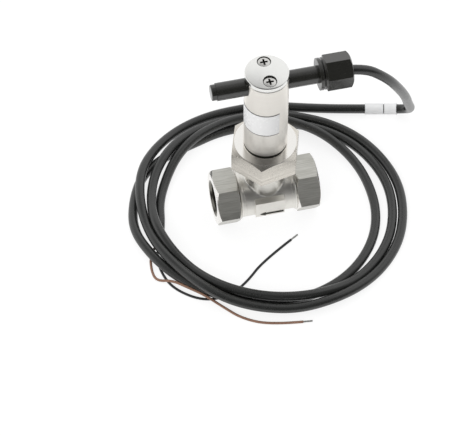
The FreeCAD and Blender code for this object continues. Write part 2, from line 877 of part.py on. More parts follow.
def cross_recess(sketch, arm, half):
    """Outline of a cross recess with arms of the given reach and half width."""
    outline(
        sketch,
        [
            (arm, -half),
            (arm, half),
            (half, half),
            (half, arm),
            (-half, arm),
            (-half, half),
            (-arm, half),
            (-arm, -half),
            (-half, -half),
            (-half, -arm),
            (half, -arm),
            (half, -half),
        ],
    )


def on_rod(piece, spin=0.0):
    """Lay a turned piece along the rod's axis, with its heights counted from the branch axis."""
    place(piece, branch_x, ZERO, rod_level, TURN_TO_X * Rotation(Vector(0, 0, 1), spin))


def build_rod():
    """Plastic rod tube with its end plug, and the reed contact on its carrier inside."""
    bore = D.rod_bore / 2
    outer = D.rod_diameter / 2
    tube = turned_body("reed_tube", ring_section(bore, outer, -D.rod_left, D.rod_right))
    on_rod(tube)
    keep(tube, "reed_tube")

    tip = D.tip_diameter / 2
    fit = bore - D.static_clearance
    end = -(D.rod_left + D.tip_length)
    edge = D.housing_edge
    plug = turned_body(
        "rod_end_plug",
        [
            (ZERO, end),
            (tip - edge, end),
            (tip, end + edge),
            (tip, -D.rod_left),
            (fit, -D.rod_left),
            (fit, D.plug_length - D.rod_left),
            (ZERO, D.plug_length - D.rod_left),
        ],
    )
    on_rod(plug)
    keep(plug, "rod_end_plug")

    # Half-round carrier under the glass.
    stick_length = D.carrier_stick_left + D.carrier_stick_right
    stick = plain_cylinder("carrier_round", fit, stick_length)
    place(stick, branch_x - D.carrier_stick_left, ZERO, rod_level, TURN_TO_X)
    trim = doc.addObject("Part::Box", "carrier_trim")
    trim.setExpression("Length", (stick_length + OVERCUT * 2).text)
    trim.setExpression("Width", D.rod_diameter.text)
    trim.setExpression("Height", D.rod_diameter.text)
    place(
        trim,
        branch_x - D.carrier_stick_left - OVERCUT,
        -outer,
        rod_level - D.reed_diameter / 2 - D.static_clearance,
    )
    carrier = doc.addObject("Part::Cut", "reed_carrier")
    carrier.Base = stick
    carrier.Tool = trim
    keep(carrier, "reed_carrier")

    glass = D.reed_diameter / 2
    half = D.reed_length / 2
    straight = half - glass
    capsule = turned_body(
        "reed_capsule",
        [(ZERO, -half), (glass, -straight), (glass, straight), (ZERO, half)],
        arcs=(0, 2),
    )
    on_rod(capsule)
    keep(capsule, "reed_capsule")

    # One wire leaves the glass towards the cable, the other turns back over it.
    wire_end = D.cable_start - D.static_clearance
    out = plain_cylinder("reed_wire_out", D.reed_wire / 2, wire_end - half)
    place(out, branch_x + half, ZERO, rod_level, TURN_TO_X)
    glass_end = (branch_x - half).value
    back = glass_end - D.reed_tail.value
    low = rod_level.value
    high = (rod_level + D.return_wire_rise).value
    far = (branch_x + wire_end).value
    corners = [Vector(glass_end, 0, low), Vector(back, 0, low), Vector(back, 0, high), Vector(far, 0, high)]
    returning = doc.addObject("Part::Feature", "reed_wire_return")
    returning.Shape = swept_round("reed_wire_return", corners, D.reed_wire)
    group("reed_wires", [out, returning])


def build_gland():
    """Flanged gland on the rod's end: body, rubber seal, thrust ring and hexagon nut."""
    tube = D.rod_diameter / 2 + D.static_clearance
    sleeve = D.gland_thread / 2
    flange = D.gland_flange_diameter / 2
    way = D.cable_way / 2
    pocket = D.seal_pocket / 2
    flange_end = D.gland_start + D.gland_flange_thickness
    tube_stop = D.rod_right + D.static_clearance
    body = turned_body(
        "gland_body",
        [
            (tube, D.gland_start),
            (flange, D.gland_start),
            (flange, flange_end),
            (sleeve, flange_end),
            (sleeve, D.gland_sleeve_end),
            (pocket, D.gland_sleeve_end),
            (pocket, D.seal_floor),
            (way, D.seal_floor),
            (way, tube_stop),
            (tube, tube_stop),
        ],
    )
    on_rod(body)
    keep(body, "gland_body")

    fit = pocket - D.static_clearance
    grip = D.cable_diameter / 2 + D.static_clearance
    seal_start = D.seal_floor + D.static_clearance
    seal_end = D.seal_floor + D.seal_length
    seal = turned_body("gland_seal", ring_section(grip, fit, seal_start, seal_end))
    on_rod(seal)
    keep(seal, "gland_seal")
    ring_start = seal_end + D.static_clearance
    ring_end = ring_start + D.thrust_ring_thickness
    ring = turned_body("thrust_ring", ring_section(way, fit, ring_start, ring_end))
    on_rod(ring)
    keep(ring, "thrust_ring")

    nut = new_body("gland_nut")
    hex_start = collar_start + D.nut_collar
    sketch = new_sketch(nut, "XY_Plane", hex_start)
    hexagon(sketch, D.nut_flats)
    extrude(nut, sketch, D.nut_end - hex_start)
    sketch = new_sketch(nut, "XZ_Plane")
    outline(sketch, ring_section(sleeve, flange, collar_start, hex_start))
    turn(nut, sketch)
    sketch = new_sketch(nut, "XZ_Plane")
    outline(sketch, chamfer_section(D.nut_chamfer_circle, D.nut_flats, D.nut_end, -TAN_30))
    turn(nut, sketch, "Groove")
    thread = sleeve + D.static_clearance
    wall = D.nut_end - D.nut_end_wall
    sketch = new_sketch(nut, "XZ_Plane")
    outline(
        sketch,
        [
            (ZERO, collar_start),
            (thread, collar_start),
            (thread, wall),
            (way, wall),
            (way, D.nut_end),
            (ZERO, D.nut_end),
        ],
    )
    turn(nut, sketch, "Groove")
    on_rod(nut, D.nut_turn.value)
    keep(nut, "gland_nut")


def route_wire(label, points):
    """Straight runs joined by tangent arcs, each as large as its two runs allow."""
    edges = []
    last = points[0]
    radii = []
    for before, here, after in zip(points, points[1:], points[2:]):
        arriving = here - before
        leaving = after - here
        reach = BEND_SHARE * min(arriving.Length, leaving.Length)
        half_turn = arriving.getAngle(leaving) / 2.0
        radius = reach / math.tan(half_turn)
        arriving.normalize()
        leaving.normalize()
        inward = leaving - arriving
        inward.normalize()
        start = here - arriving * reach
        finish = here + leaving * reach
        middle = here + inward * (radius / math.cos(half_turn) - radius)
        edges.append(Part.LineSegment(last, start).toShape())
        edges.append(Part.Arc(start, middle, finish).toShape())
        radii.append(radius)
        last = finish
    edges.append(Part.LineSegment(last, points[-1]).toShape())
    wire = Part.Wire(edges)
    print(label, "length", round(wire.Length, 1), "bend radii", [round(radius, 1) for radius in radii])
    return wire


def swept_round(label, points, diameter):
    """Round solid along a route of runs and arcs, with its volume checked against its length."""
    path = route_wire(label, points)
    section = Part.Wire(Part.Circle(points[0], points[1] - points[0], diameter.value / 2).toShape())
    tube = path.makePipeShell([section], True, True)
    expected = math.pi * diameter.value**2 / 4 * path.Length
    if abs(tube.Volume / expected - 1.0) > 0.01:
        raise RuntimeError(f"{label} has volume {tube.Volume}, not {expected}")
    return tube


def build_cord(label, points, diameter):
    """Cable or core along its own route."""
    cord = doc.addObject("Part::Feature", label)
    cord.Shape = swept_round(label, points, diameter)
    keep(cord, label)


def along_run(start, end):
    """Placement at start with its upright axis pointing at end."""
    return Placement(start, Rotation(Vector(0, 0, 1), end - start))


def build_cable():
    """Lead from the gland to the floor, its marker, the coil, the two cores and their bare ends."""
    first = Vector((branch_x + D.cable_start).value, 0, rod_level.value)
    second = Vector((branch_x + D.nut_end + D.cable_straight).value, 0, rod_level.value)
    lead = [first, second, *LEAD_DROP, LEAD_FOLD, *LEAD_RETURN]
    build_cord("cable_lead", lead, D.cable_diameter)

    bore = D.cable_diameter / 2 + D.seat_clearance
    outer = bore + D.marker_wall
    start = D.marker_inset
    marker = turned_body("cable_marker", ring_section(bore, outer, start, start + D.marker_length))
    marker.Placement = along_run(LEAD_FOLD, LEAD_RETURN[0])
    keep(marker, "cable_marker")

    inner = D.coil_inner_radius
    rim = D.coil_outer_radius
    edge = D.coil_edge
    tall = D.coil_height
    coil = turned_body(
        "cable_coil",
        [
            (inner, ZERO),
            (rim, ZERO),
            (rim, tall - edge),
            (rim - edge, tall),
            (inner + edge, tall),
            (inner, tall - edge),
        ],
    )
    place(coil, as_size(COIL_CENTRE.x), as_size(COIL_CENTRE.y), floor_level)
    keep(coil, "cable_coil")

    ends = []
    for colour, route in (("brown", BROWN_ROUTE), ("black", BLACK_ROUTE)):
        build_cord(f"core_{colour}", route, D.core_diameter)
        strands = plain_cylinder(f"strands_{colour}", D.strand_diameter / 2, D.strand_length)
        tip = route[-1]
        strands.Placement = along_run(tip, tip + (tip - route[-2]))
        ends.append(strands)
    group("tinned_ends", ends)


def write_parts():
    """Check every object, then write each piece to its own file."""
    doc.recompute()
    for item in doc.Objects:
        if "Invalid" in item.State or "Error" in item.State:
            raise RuntimeError(f"{item.Name} failed: {item.State}")
    for piece in nodes:
        if piece.Shape.isNull() or not piece.Shape.isValid():
            raise RuntimeError(f"{piece.Label} has no valid shape")
    os.makedirs("parts", exist_ok=True)
    for piece in nodes:
        piece.Shape.exportStep(f"parts/{piece.Label}.step")
        print(piece.Label, "solids", len(piece.Shape.Solids), "volume", round(piece.Shape.Volume, 1))


build_tee()
build_gasket()
build_insert()
build_seal()
build_bearing()
build_lever()
build_blade()
build_lever_magnet()
build_housing()
build_cap()
build_rod()
build_gland()
build_cable()
write_parts()
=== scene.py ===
"""Looks of an inline paddle flow switch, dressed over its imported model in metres."""

import logging
import math
from dataclasses import dataclass, field
from enum import Enum

import bmesh
import bpy
from bmesh.types import BMesh, BMFace, BMVert
from bpy.types import Curve, Material, Mesh, Node, Object
from bpy.types import NodeSocket as Socket
from bpy.types import NodeTree as Tree
from mathutils import Matrix, Vector


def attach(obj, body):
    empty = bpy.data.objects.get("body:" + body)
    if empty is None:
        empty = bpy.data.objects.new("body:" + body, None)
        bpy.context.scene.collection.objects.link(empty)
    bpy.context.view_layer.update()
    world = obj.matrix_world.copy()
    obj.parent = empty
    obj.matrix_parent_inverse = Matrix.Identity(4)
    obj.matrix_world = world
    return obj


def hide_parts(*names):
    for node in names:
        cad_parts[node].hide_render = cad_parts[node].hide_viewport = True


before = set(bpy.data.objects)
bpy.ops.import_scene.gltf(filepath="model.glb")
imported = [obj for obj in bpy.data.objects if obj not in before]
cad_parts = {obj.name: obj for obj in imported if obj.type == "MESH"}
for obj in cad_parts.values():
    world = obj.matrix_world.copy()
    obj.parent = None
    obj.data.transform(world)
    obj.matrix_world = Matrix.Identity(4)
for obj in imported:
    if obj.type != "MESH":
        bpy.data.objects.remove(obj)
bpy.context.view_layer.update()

LOG = logging.getLogger("flow_switch")

Inputs = dict[str | int, object]
Pair = tuple[float, float]
Triple = tuple[float, float, float]
Limits = tuple[float, float, float, float]

MM = 0.001
# Axis of the branch along the run, and from there to the inner end of either hexagon, in millimetres.
BRANCH_X = 30.0
HEX_START = 16.0
# Spacing of lathe rings in millimetres, drawn coarser than the real 0.1 so that they show, and their depth.
TOOL_FEED = 0.5
RING_DEPTH = 0.004
# A wave texture at a scale of one repeats after this length.
WAVE_LENGTH = math.pi / 10.0
# Turn of the smear on turned steel that stretches a reflection along the axis, in whole turns.
UPRIGHT = 0.25
# Length of a lathe's and of a belt's marks in widths, and noise levels where they are dark and light.
LATHE_STRETCH = 60.0
LATHE_LEVELS = (0.3, 0.7)
BELT_STRETCH = 25.0
BELT_LEVELS = (0.35, 0.65)
# Half the soft border of a ground flat and of a bore in millimetres, and a bright face's as a cosine.
FLAT_BORDER = 0.2
BORE_BORDER = 0.1
BRIGHT_BORDER = 0.06
# Levels of two added noises where a surface is smoothest and roughest.
GLOSS_LEVELS = (0.7, 1.3)
# Agreement of a face with its broken edge where the lighter edge colour, wear and on milled steel a painted glint,
# starts and is full, and its cover there.
EDGE_LEVELS = (0.995, 0.93)
EDGE_COVER = (0.0, 0.6)


class Body(Enum):
    """Bodies of the switch that the pieces made here ride on."""

    BASE = "base"
    REED_ROD = "reed_rod"


class Lathe(Enum):
    """Axis about which a piece's bright faces were turned."""

    NONE = ""
    RUN = "X"
    BRANCH = "Z"


def linear(code: str) -> Limits:
    """Turn an sRGB colour, six hex digits after a hash sign, into linear light with an alpha of one."""
    parts = [int(code[start : start + 2], 16) / 255.0 for start in (1, 3, 5)]
    lit = [part / 12.92 if part <= 0.04045 else ((part + 0.055) / 1.055) ** 2.4 for part in parts]
    return lit[0], lit[1], lit[2], 1.0


def per_metre(size_mm: float) -> float:
    """Scale of a pattern whose features are this many millimetres apart."""
    return 1.0 / (size_mm * MM)


def add_node(tree: Tree, kind: str, settings: Inputs | None = None, links: Inputs | None = None) -> Node:
    """Add one node with its settings and incoming links.

    Args:
        tree: where the node goes.
        kind: type name of the node without its prefix.
        settings: socket values by socket name or number, and properties by name.
        links: output sockets by the name or number of the input that they feed.

    Returns:
        The new node.
    """
    node = tree.nodes.new(f"ShaderNode{kind}")
    for name, value in (settings or {}).items():
        if isinstance(name, int) or name in node.inputs:
            node.inputs[name].default_value = value
        else:
            setattr(node, name, value)
    for name, source in (links or {}).items():
        tree.links.new(source, node.inputs[name])
    return node


def reckon(tree: Tree, operation: str, *terms: Socket | Triple | float, kind: str = "Math") -> Socket:
    """Work out a number.

    Args:
        tree: where the node goes.
        operation: what is worked out.
        terms: sockets and fixed values that it is worked out from.
        kind: type of the node, which is another one for vectors.

    Returns:
        The number.
    """
    links = {place: term for place, term in enumerate(terms) if isinstance(term, Socket)}
    fixed = {place: term for place, term in enumerate(terms) if place not in links}
    return add_node(tree, kind, {"operation": operation, **fixed}, links).outputs["Value"]


def spread(tree: Tree, value: Socket, levels: Pair, ends: Pair = (0.0, 1.0)) -> Socket:
    """Spread a value over a new range, which it doesn't leave.

    Args:
        tree: where the node goes.
        value: the value.
        levels: its levels that give the ends of the range.
        ends: those ends.

    Returns:
        The new value.
    """
    limits = dict(zip(("From Min", "From Max", "To Min", "To Max"), (*levels, *ends)))
    return add_node(tree, "MapRange", limits, {"Value": value}).outputs[0]


def blend(tree: Tree, share: Socket, first: Socket | str, second: Socket | str | float) -> Socket:
    """Mix two colours, or a value with a number.

    Args:
        tree: where the node goes.
        share: share of the second one.
        first: a socket or an sRGB hex code.
        second: a socket, an sRGB hex code or a number.

    Returns:
        The mixed colour or value.
    """
    if isinstance(second, float):
        number = {"data_type": "FLOAT", 3: second}
        return add_node(tree, "Mix", number, {0: share, 2: first}).outputs[0]
    sides = {6: first, 7: second}
    fixed = {place: linear(side) for place, side in sides.items() if isinstance(side, str)}
    links = {place: side for place, side in sides.items() if place not in fixed}
    return add_node(tree, "Mix", {"data_type": "RGBA", **fixed}, {0: share, **links}).outputs[2]


def emboss(tree: Tree, height: Socket, depth_mm: float, normal: Socket | None = None) -> Socket:
    """Raise a relief on a surface.

    Args:
        tree: where the node goes.
        height: pattern of the relief.
        depth_mm: its depth.
        normal: surface direction without it, or nothing for the plain one.

    Returns:
        Surface direction with the relief.
    """
    links = {"Height": height} if normal is None else {"Height": height, "Normal": normal}
    return add_node(tree, "Bump", {"Strength": 1.0, "Distance": depth_mm * MM}, links).outputs[0]


def noise(tree: Tree, spot: Socket, scale: float, detail: float) -> Socket:
    """Soft noise of a scale and a number of octaves at a position; returns its level."""
    settings = {"Scale": scale, "Detail": detail}
    return add_node(tree, "TexNoise", settings, {"Vector": spot}).outputs[0]


def marks(tree: Tree, spot: Socket, scales: Triple) -> Socket:
    """Noise drawn out into tool marks by a scale for each axis; returns its level."""
    drawn = add_node(tree, "Mapping", {"Scale": scales}, {"Vector": spot})
    return noise(tree, drawn.outputs[0], 1.0, detail=3.0)


def bare_material(name: str) -> Material:
    """Start a material of this name without nodes; returns it."""
    material = bpy.data.materials.new(name)
    material.use_nodes = True
    material.node_tree.nodes.clear()
    return material


def shade(tree: Tree, settings: Inputs, links: Inputs) -> None:
    """Complete a material with its shader.

    Args:
        tree: node tree of the material.
        settings: values of the shader's sockets.
        links: output sockets by the name of the input that they feed.
    """
    shader = add_node(tree, "BsdfPrincipled", settings, links)
    add_node(tree, "OutputMaterial", links={"Surface": shader.outputs[0]})


@dataclass
class Coat:
    """Nodes of a material while its surface is built up: where it is, and how it faces and looks so far."""

    tree: Tree
    place: Node
    broken: Socket
    relief: Socket
    gloss: Socket
    colour: Socket


@dataclass(frozen=True)
class Finish:
    """One surface of the switch, with its relief in real sizes.

    Attributes:
        name: the material and how its surface was made.
        tones: lighter and darker colour.
        gloss: least and greatest roughness.
        mottle_mm: size of the soft patches in colour.
        grain_mm: size and depth of the grain.
        metal: whether it is a metal.
        lines_mm: spacing and depth of tool marks, or nothing.
        edge_mm: radius of a broken edge.
        wear_and_glint: colour of rubbed edges, or nothing.
        lathe: axis about which flat faces were turned bright.
        bright: colour of those faces.
        bright_gloss: their roughness.
        bright_from: how squarely they have to lie across that axis.
        flats: lighter and darker colour of the hexagons' ground flats, or nothing.
        flats_gloss: their roughness.
        bore: painted shade colour of the bores along the run, or nothing.
        bore_mm: radius of their mouths.
        smear: how far turned lines stretch a reflection upright.
        specular: strength of the mirror-like part of a plastic.
    """

    name: str
    tones: tuple[str, str]
    gloss: Pair
    mottle_mm: float
    grain_mm: Pair
    metal: bool = False
    lines_mm: Pair | None = None
    edge_mm: float = 0.25
    wear_and_glint: str = ""
    lathe: Lathe = Lathe.NONE
    bright: str = ""
    bright_gloss: float = 0.2
    bright_from: float = 0.92
    flats: tuple[str, str] | None = None
    flats_gloss: float = 0.34
    bore: str = ""
    bore_mm: float = 10.7
    smear: float = 0.0
    specular: float = 0.5

    def make(self) -> Material:
        """Build the material's nodes and return it."""
        material = bare_material(self.name)
        tree = material.node_tree
        place = add_node(tree, "TexCoord")
        spot = place.outputs["Object"]
        broken = add_node(tree, "Bevel", {"samples": 4, "Radius": self.edge_mm * MM}).outputs[0]
        grain_size, grain_depth = self.grain_mm
        mottle = noise(tree, spot, per_metre(self.mottle_mm), detail=4.0)
        grain = noise(tree, spot, per_metre(grain_size), detail=2.0)
        light, dark = self.tones
        relief = emboss(tree, grain, grain_depth, broken)
        gloss = spread(tree, reckon(tree, "ADD", mottle, grain), GLOSS_LEVELS, self.gloss)
        coat = Coat(tree, place, broken, relief, gloss, blend(tree, mottle, dark, light))
        if self.wear_and_glint:
            self.lighten_edges(coat)
        if self.flats:
            self.grind_flats(coat)
        elif self.lines_mm:
            self.draw_lines(coat)
        if self.lathe is not Lathe.NONE:
            self.face_ends(coat)
        if self.bore:
            self.shade_bores(coat)
        settings = {
            "Metallic": float(self.metal),
            "Specular IOR Level": self.specular,
            "Anisotropic": self.smear,
            "Anisotropic Rotation": UPRIGHT,
        }
        links = {"Base Color": coat.colour, "Roughness": coat.gloss, "Normal": coat.relief}
        if self.smear:
            around = add_node(tree, "Tangent", {"direction_type": "RADIAL", "axis": "Z"})
            links["Tangent"] = around.outputs[0]
        shade(tree, settings, links)
        return material

    def lighten_edges(self, coat: Coat) -> None:
        """Lighten a coat's broken edges: wear where hands and tools rub, and on milled steel a painted glint."""
        plain = add_node(coat.tree, "NewGeometry").outputs["Normal"]
        along = reckon(coat.tree, "DOT_PRODUCT", plain, coat.broken, kind="VectorMath")
        edge_share = spread(coat.tree, along, EDGE_LEVELS, EDGE_COVER)
        coat.colour = blend(coat.tree, edge_share, coat.colour, self.wear_and_glint)

    def draw_lines(self, coat: Coat) -> None:
        """Add the level lines that a lathe or a cutter leaves on a coat."""
        width, depth = self.lines_mm
        long_way = per_metre(width * LATHE_STRETCH)
        lines = marks(coat.tree, coat.place.outputs["Object"], (long_way, long_way, per_metre(width)))
        coat.colour = blend(coat.tree, spread(coat.tree, lines, LATHE_LEVELS), self.tones[1], coat.colour)
        coat.relief = emboss(coat.tree, lines, depth, coat.relief)

    def grind_flats(self, coat: Coat) -> None:
        """Grind the hexagons' flats of a coat on a belt, which leaves grey lines along the run."""
        tree = coat.tree
        spot = coat.place.outputs["Object"]
        along = add_node(tree, "SeparateXYZ", links={"Vector": spot}).outputs["X"]
        reach = reckon(tree, "ABSOLUTE", reckon(tree, "SUBTRACT", along, BRANCH_X * MM))
        flat = spread(tree, reach, ((HEX_START - FLAT_BORDER) * MM, (HEX_START + FLAT_BORDER) * MM))
        width, depth = self.lines_mm
        fine = per_metre(width)
        lines = marks(tree, spot, (per_metre(width * BELT_STRETCH), fine, fine))
        light, dark = self.flats
        streaks = blend(tree, spread(tree, lines, BELT_LEVELS), dark, light)
        coat.colour = blend(tree, flat, coat.colour, streaks)
        coat.gloss = blend(tree, flat, coat.gloss, self.flats_gloss)
        coat.relief = emboss(tree, reckon(tree, "MULTIPLY", lines, flat), depth, coat.relief)

    def shade_bores(self, coat: Coat) -> None:
        """Darken a coat in the bores along the run with painted shade."""
        flatten = {"operation": "MULTIPLY", 1: (0.0, 1.0, 1.0)}
        across = add_node(coat.tree, "VectorMath", flatten, {0: coat.place.outputs["Object"]})
        reach = reckon(coat.tree, "LENGTH", across.outputs[0], kind="VectorMath")
        borders = ((self.bore_mm + BORE_BORDER) * MM, (self.bore_mm - BORE_BORDER) * MM)
        coat.colour = blend(coat.tree, spread(coat.tree, reach, borders), coat.colour, self.bore)

    def face_ends(self, coat: Coat) -> None:
        """Turn a coat's faces across the lathe's axis bright, with the rings that the tool leaves."""
        tree = coat.tree
        axis = (1.0, 0.0, 0.0) if self.lathe is Lathe.RUN else (0.0, 0.0, 1.0)
        across = reckon(tree, "DOT_PRODUCT", coat.place.outputs["Normal"], axis, kind="VectorMath")
        squarely = reckon(tree, "ABSOLUTE", across)
        turned = spread(tree, squarely, (self.bright_from, self.bright_from + BRIGHT_BORDER))
        shift = {"Location": (-BRANCH_X * MM, 0.0, 0.0)}
        centred = add_node(tree, "Mapping", shift, {"Vector": coat.place.outputs["Object"]})
        waves = {
            "wave_type": "RINGS",
            "rings_direction": self.lathe.value,
            "Scale": per_metre(TOOL_FEED) * WAVE_LENGTH,
            "Distortion": 1.5,
        }
        rings = add_node(tree, "TexWave", waves, {"Vector": centred.outputs[0]}).outputs[1]
        coat.relief = emboss(tree, reckon(tree, "MULTIPLY", rings, turned), RING_DEPTH, coat.relief)
        coat.gloss = blend(tree, turned, coat.gloss, self.bright_gloss)
        coat.colour = blend(tree, turned, coat.colour, self.bright)


# Stainless steel cast and blasted, with belt-ground hexagons and turned port faces: satin with a fine grit,
# grey and streaked along the run on the flats, and bright at the ends.
# Its bore colour is painted shade inside the bores along the run.
CAST_STAINLESS = Finish(
    "stainless_cast_blasted", ("#F4F2EC", "#E3E1DB"), (0.36, 0.48), 6.0, (0.7, 0.012), metal=True,
    lines_mm=(0.4, 0.014), wear_and_glint="#F0EEEA", lathe=Lathe.RUN, bright="#F2F0EC", bright_gloss=0.22,
    bright_from=0.65, flats=("#D0CFC9", "#B8B7B0"), bore="#7C7A73",
)
# The same casting on its raised mark, dark with painted shade: dull and nearly brown.
CAST_MARK_SHADE = Finish(
    "stainless_mark_painted_shade", ("#5E5C56", "#474640"), (0.45, 0.6), 2.0, (0.5, 0.02), metal=True, wear_and_glint="#A09E98"
)
# The same casting where the threads are tapped, with painted shade: dark and dull.
TAPPED_SHADED_STAINLESS = Finish(
    "stainless_tapped_painted_shade", ("#8A8880", "#66645E"), (0.34, 0.48), 3.0, (0.4, 0.006), metal=True, wear_and_glint="#B4B2AA"
)
# Stainless bar milled to a hexagon, its top turned: warm satin sides with level lines, and a mirroring top.
# Its lighter broken edges are a painted glint.
MILLED_STAINLESS = Finish(
    "stainless_milled_satin", ("#F2EEE6", "#CDC8BF"), (0.2, 0.3), 9.0, (1.2, 0.001), metal=True,
    lines_mm=(0.6, 0.008), wear_and_glint="#FAF7F2", lathe=Lathe.BRANCH, bright="#F0EEEA", bright_gloss=0.12,
)
# Stainless bar turned with a fine feed: bright, with faint level lines that smear what it mirrors up and down.
TURNED_STAINLESS = Finish(
    "stainless_fine_turned", ("#FBF8F2", "#F2EEE7"), (0.3, 0.36), 11.0, (0.9, 0.0005), metal=True,
    lines_mm=(0.35, 0.02), wear_and_glint="#FBF9F5", smear=0.75,
)
# Turned stainless blasted with glass beads: frosted and without a clear highlight.
FROSTED_STAINLESS = Finish(
    "stainless_bead_blasted", ("#F6F6F4", "#E6E6E3"), (0.2, 0.28), 6.0, (0.5, 0.01), metal=True, wear_and_glint="#F6F6F4"
)
# Ground and tumbled steel of small bought-in pieces: bright, with softened edges.
GROUND_STEEL = Finish(
    "steel_ground_bright", ("#E0DFDC", "#C9C8C5"), (0.18, 0.3), 3.0, (0.5, 0.003), metal=True, wear_and_glint="#F0EFEC"
)
# Painted shade laid into recesses and gaps where light doesn't reach: nearly black and dull.
RECESS_SHADE = Finish("recess_painted_shade", ("#24231F", "#161512"), (0.55, 0.75), 1.0, (0.3, 0.02), specular=0.2)
# Sintered magnet with a nickel plating: a slightly yellow, dull shine.
NICKELLED_MAGNET = Finish(
    "magnet_nickel_plated", ("#CBC7BC", "#B8B4A9"), (0.25, 0.36), 2.5, (0.4, 0.003), metal=True
)
# Copper strands dipped in tin: grey, uneven and dull.
TINNED_COPPER = Finish("copper_hot_tinned", ("#E4E4E2", "#C4C3BF"), (0.45, 0.6), 1.2, (0.3, 0.01), metal=True)
# Moulded nitrile rubber: matt black.
NITRILE_RUBBER = Finish(
    "nitrile_rubber_moulded", ("#1D1D1C", "#151514"), (0.62, 0.76), 3.0, (0.4, 0.008), specular=0.3
)
# Natural acetal turned from rod: milky and waxy.
NATURAL_ACETAL = Finish(
    "acetal_natural_turned", ("#EAE6DA", "#DDD8CA"), (0.36, 0.46), 5.0, (0.6, 0.004), lines_mm=(0.3, 0.003)
)
# Black polyamide moulded in a polished tool: deep black satin that greys at rubbed edges.
BLACK_POLYAMIDE = Finish(
    "polyamide_black_moulded", ("#1E1E1A", "#161612"), (0.18, 0.28), 6.0, (0.6, 0.008), wear_and_glint="#3A3933",
    specular=1.0,
)
# The same polyamide cut and polished at the rod's end: a clear shine at a low angle.
POLISHED_POLYAMIDE = Finish(
    "polyamide_black_cut", ("#22221E", "#1A1A17"), (0.05, 0.1), 4.0, (0.6, 0.003), wear_and_glint="#3A3933", specular=0.9
)
# Extruded soft PVC sheath: dark grey, satin and slightly uneven from the coiling.
SHEATH_PVC = Finish(
    "pvc_sheath_extruded", ("#282928", "#1F201F"), (0.24, 0.34), 14.0, (0.9, 0.015), edge_mm=0.1, specular=0.75
)
# White PVC sleeve cut from tube: soft satin.
SLEEVE_PVC = Finish("pvc_sleeve_white", ("#F8F8F8", "#EAEBEC"), (0.34, 0.46), 4.0, (0.6, 0.006), edge_mm=0.1)
# Thin PVC insulation of the cores, extruded: brown, with streaks where the colour is thin.
BROWN_PVC = Finish("pvc_core_brown", ("#9C7A67", "#7B5B4A"), (0.38, 0.5), 5.0, (0.5, 0.01), edge_mm=0.05)
# The same insulation in black.
BLACK_PVC = Finish("pvc_core_black", ("#313132", "#242425"), (0.36, 0.48), 5.0, (0.5, 0.01), edge_mm=0.05)
# White polyester film with a clear coat and nothing printed on it: smooth, with a faint orange peel.
LABEL_FILM = Finish(
    "polyester_label_white", ("#F8F8F8", "#F2F2F2"), (0.22, 0.3), 12.0, (2.0, 0.004), edge_mm=0.03
)
# A thin grey line along the film's border.
LABEL_BORDER = Finish(
    "label_border_grey", ("#4A4846", "#33312F"), (0.5, 0.65), 2.0, (0.4, 0.006), edge_mm=0.03
)


def make_glass() -> Material:
    """Borosilicate glass of the reed contact: clear, faintly green, with slow drawn waves; returns it."""
    wave_mm, wave_depth_mm = 3.0, 0.01
    material = bare_material("glass_drawn_clear")
    tree = material.node_tree
    place = add_node(tree, "TexCoord")
    waves = noise(tree, place.outputs["Object"], per_metre(wave_mm), detail=2.0)
    settings = {"Base Color": linear("#DCEFE2"), "Roughness": 0.03, "IOR": 1.5, "Transmission Weight": 1.0}
    shade(tree, settings, {"Normal": emboss(tree, waves, wave_depth_mm)})
    return material


def turn_ring(corners: list[Vector], centre: Vector, axis: Triple, steps: int) -> BMesh:
    """Turn a closed outline into a full ring.

    Args:
        corners: the outline in millimetres.
        centre: a point on the axis in millimetres.
        axis: direction of the axis.
        steps: faces round the ring.

    Returns:
        The ring in metres.
    """
    bm = bmesh.new()
    verts = [bm.verts.new(corner * MM) for corner in corners]
    edges = [bm.edges.new((verts[side - 1], verts[side])) for side in range(len(verts))]
    bmesh.ops.spin(
        bm, geom=verts + edges, cent=centre * MM, axis=axis, angle=math.tau, steps=steps, use_merge=True
    )
    return bm


def show(item: Object) -> None:
    """Put an object into the scene."""
    bpy.context.scene.collection.objects.link(item)


def shown_mesh(item: Object) -> Mesh:
    """Show a new object, take its mesh as Blender shows it and drop the object; returns the mesh."""
    show(item)
    bpy.context.view_layer.update()
    mesh = bpy.data.meshes.new_from_object(item.evaluated_get(bpy.context.evaluated_depsgraph_get()))
    bpy.data.objects.remove(item)
    return mesh


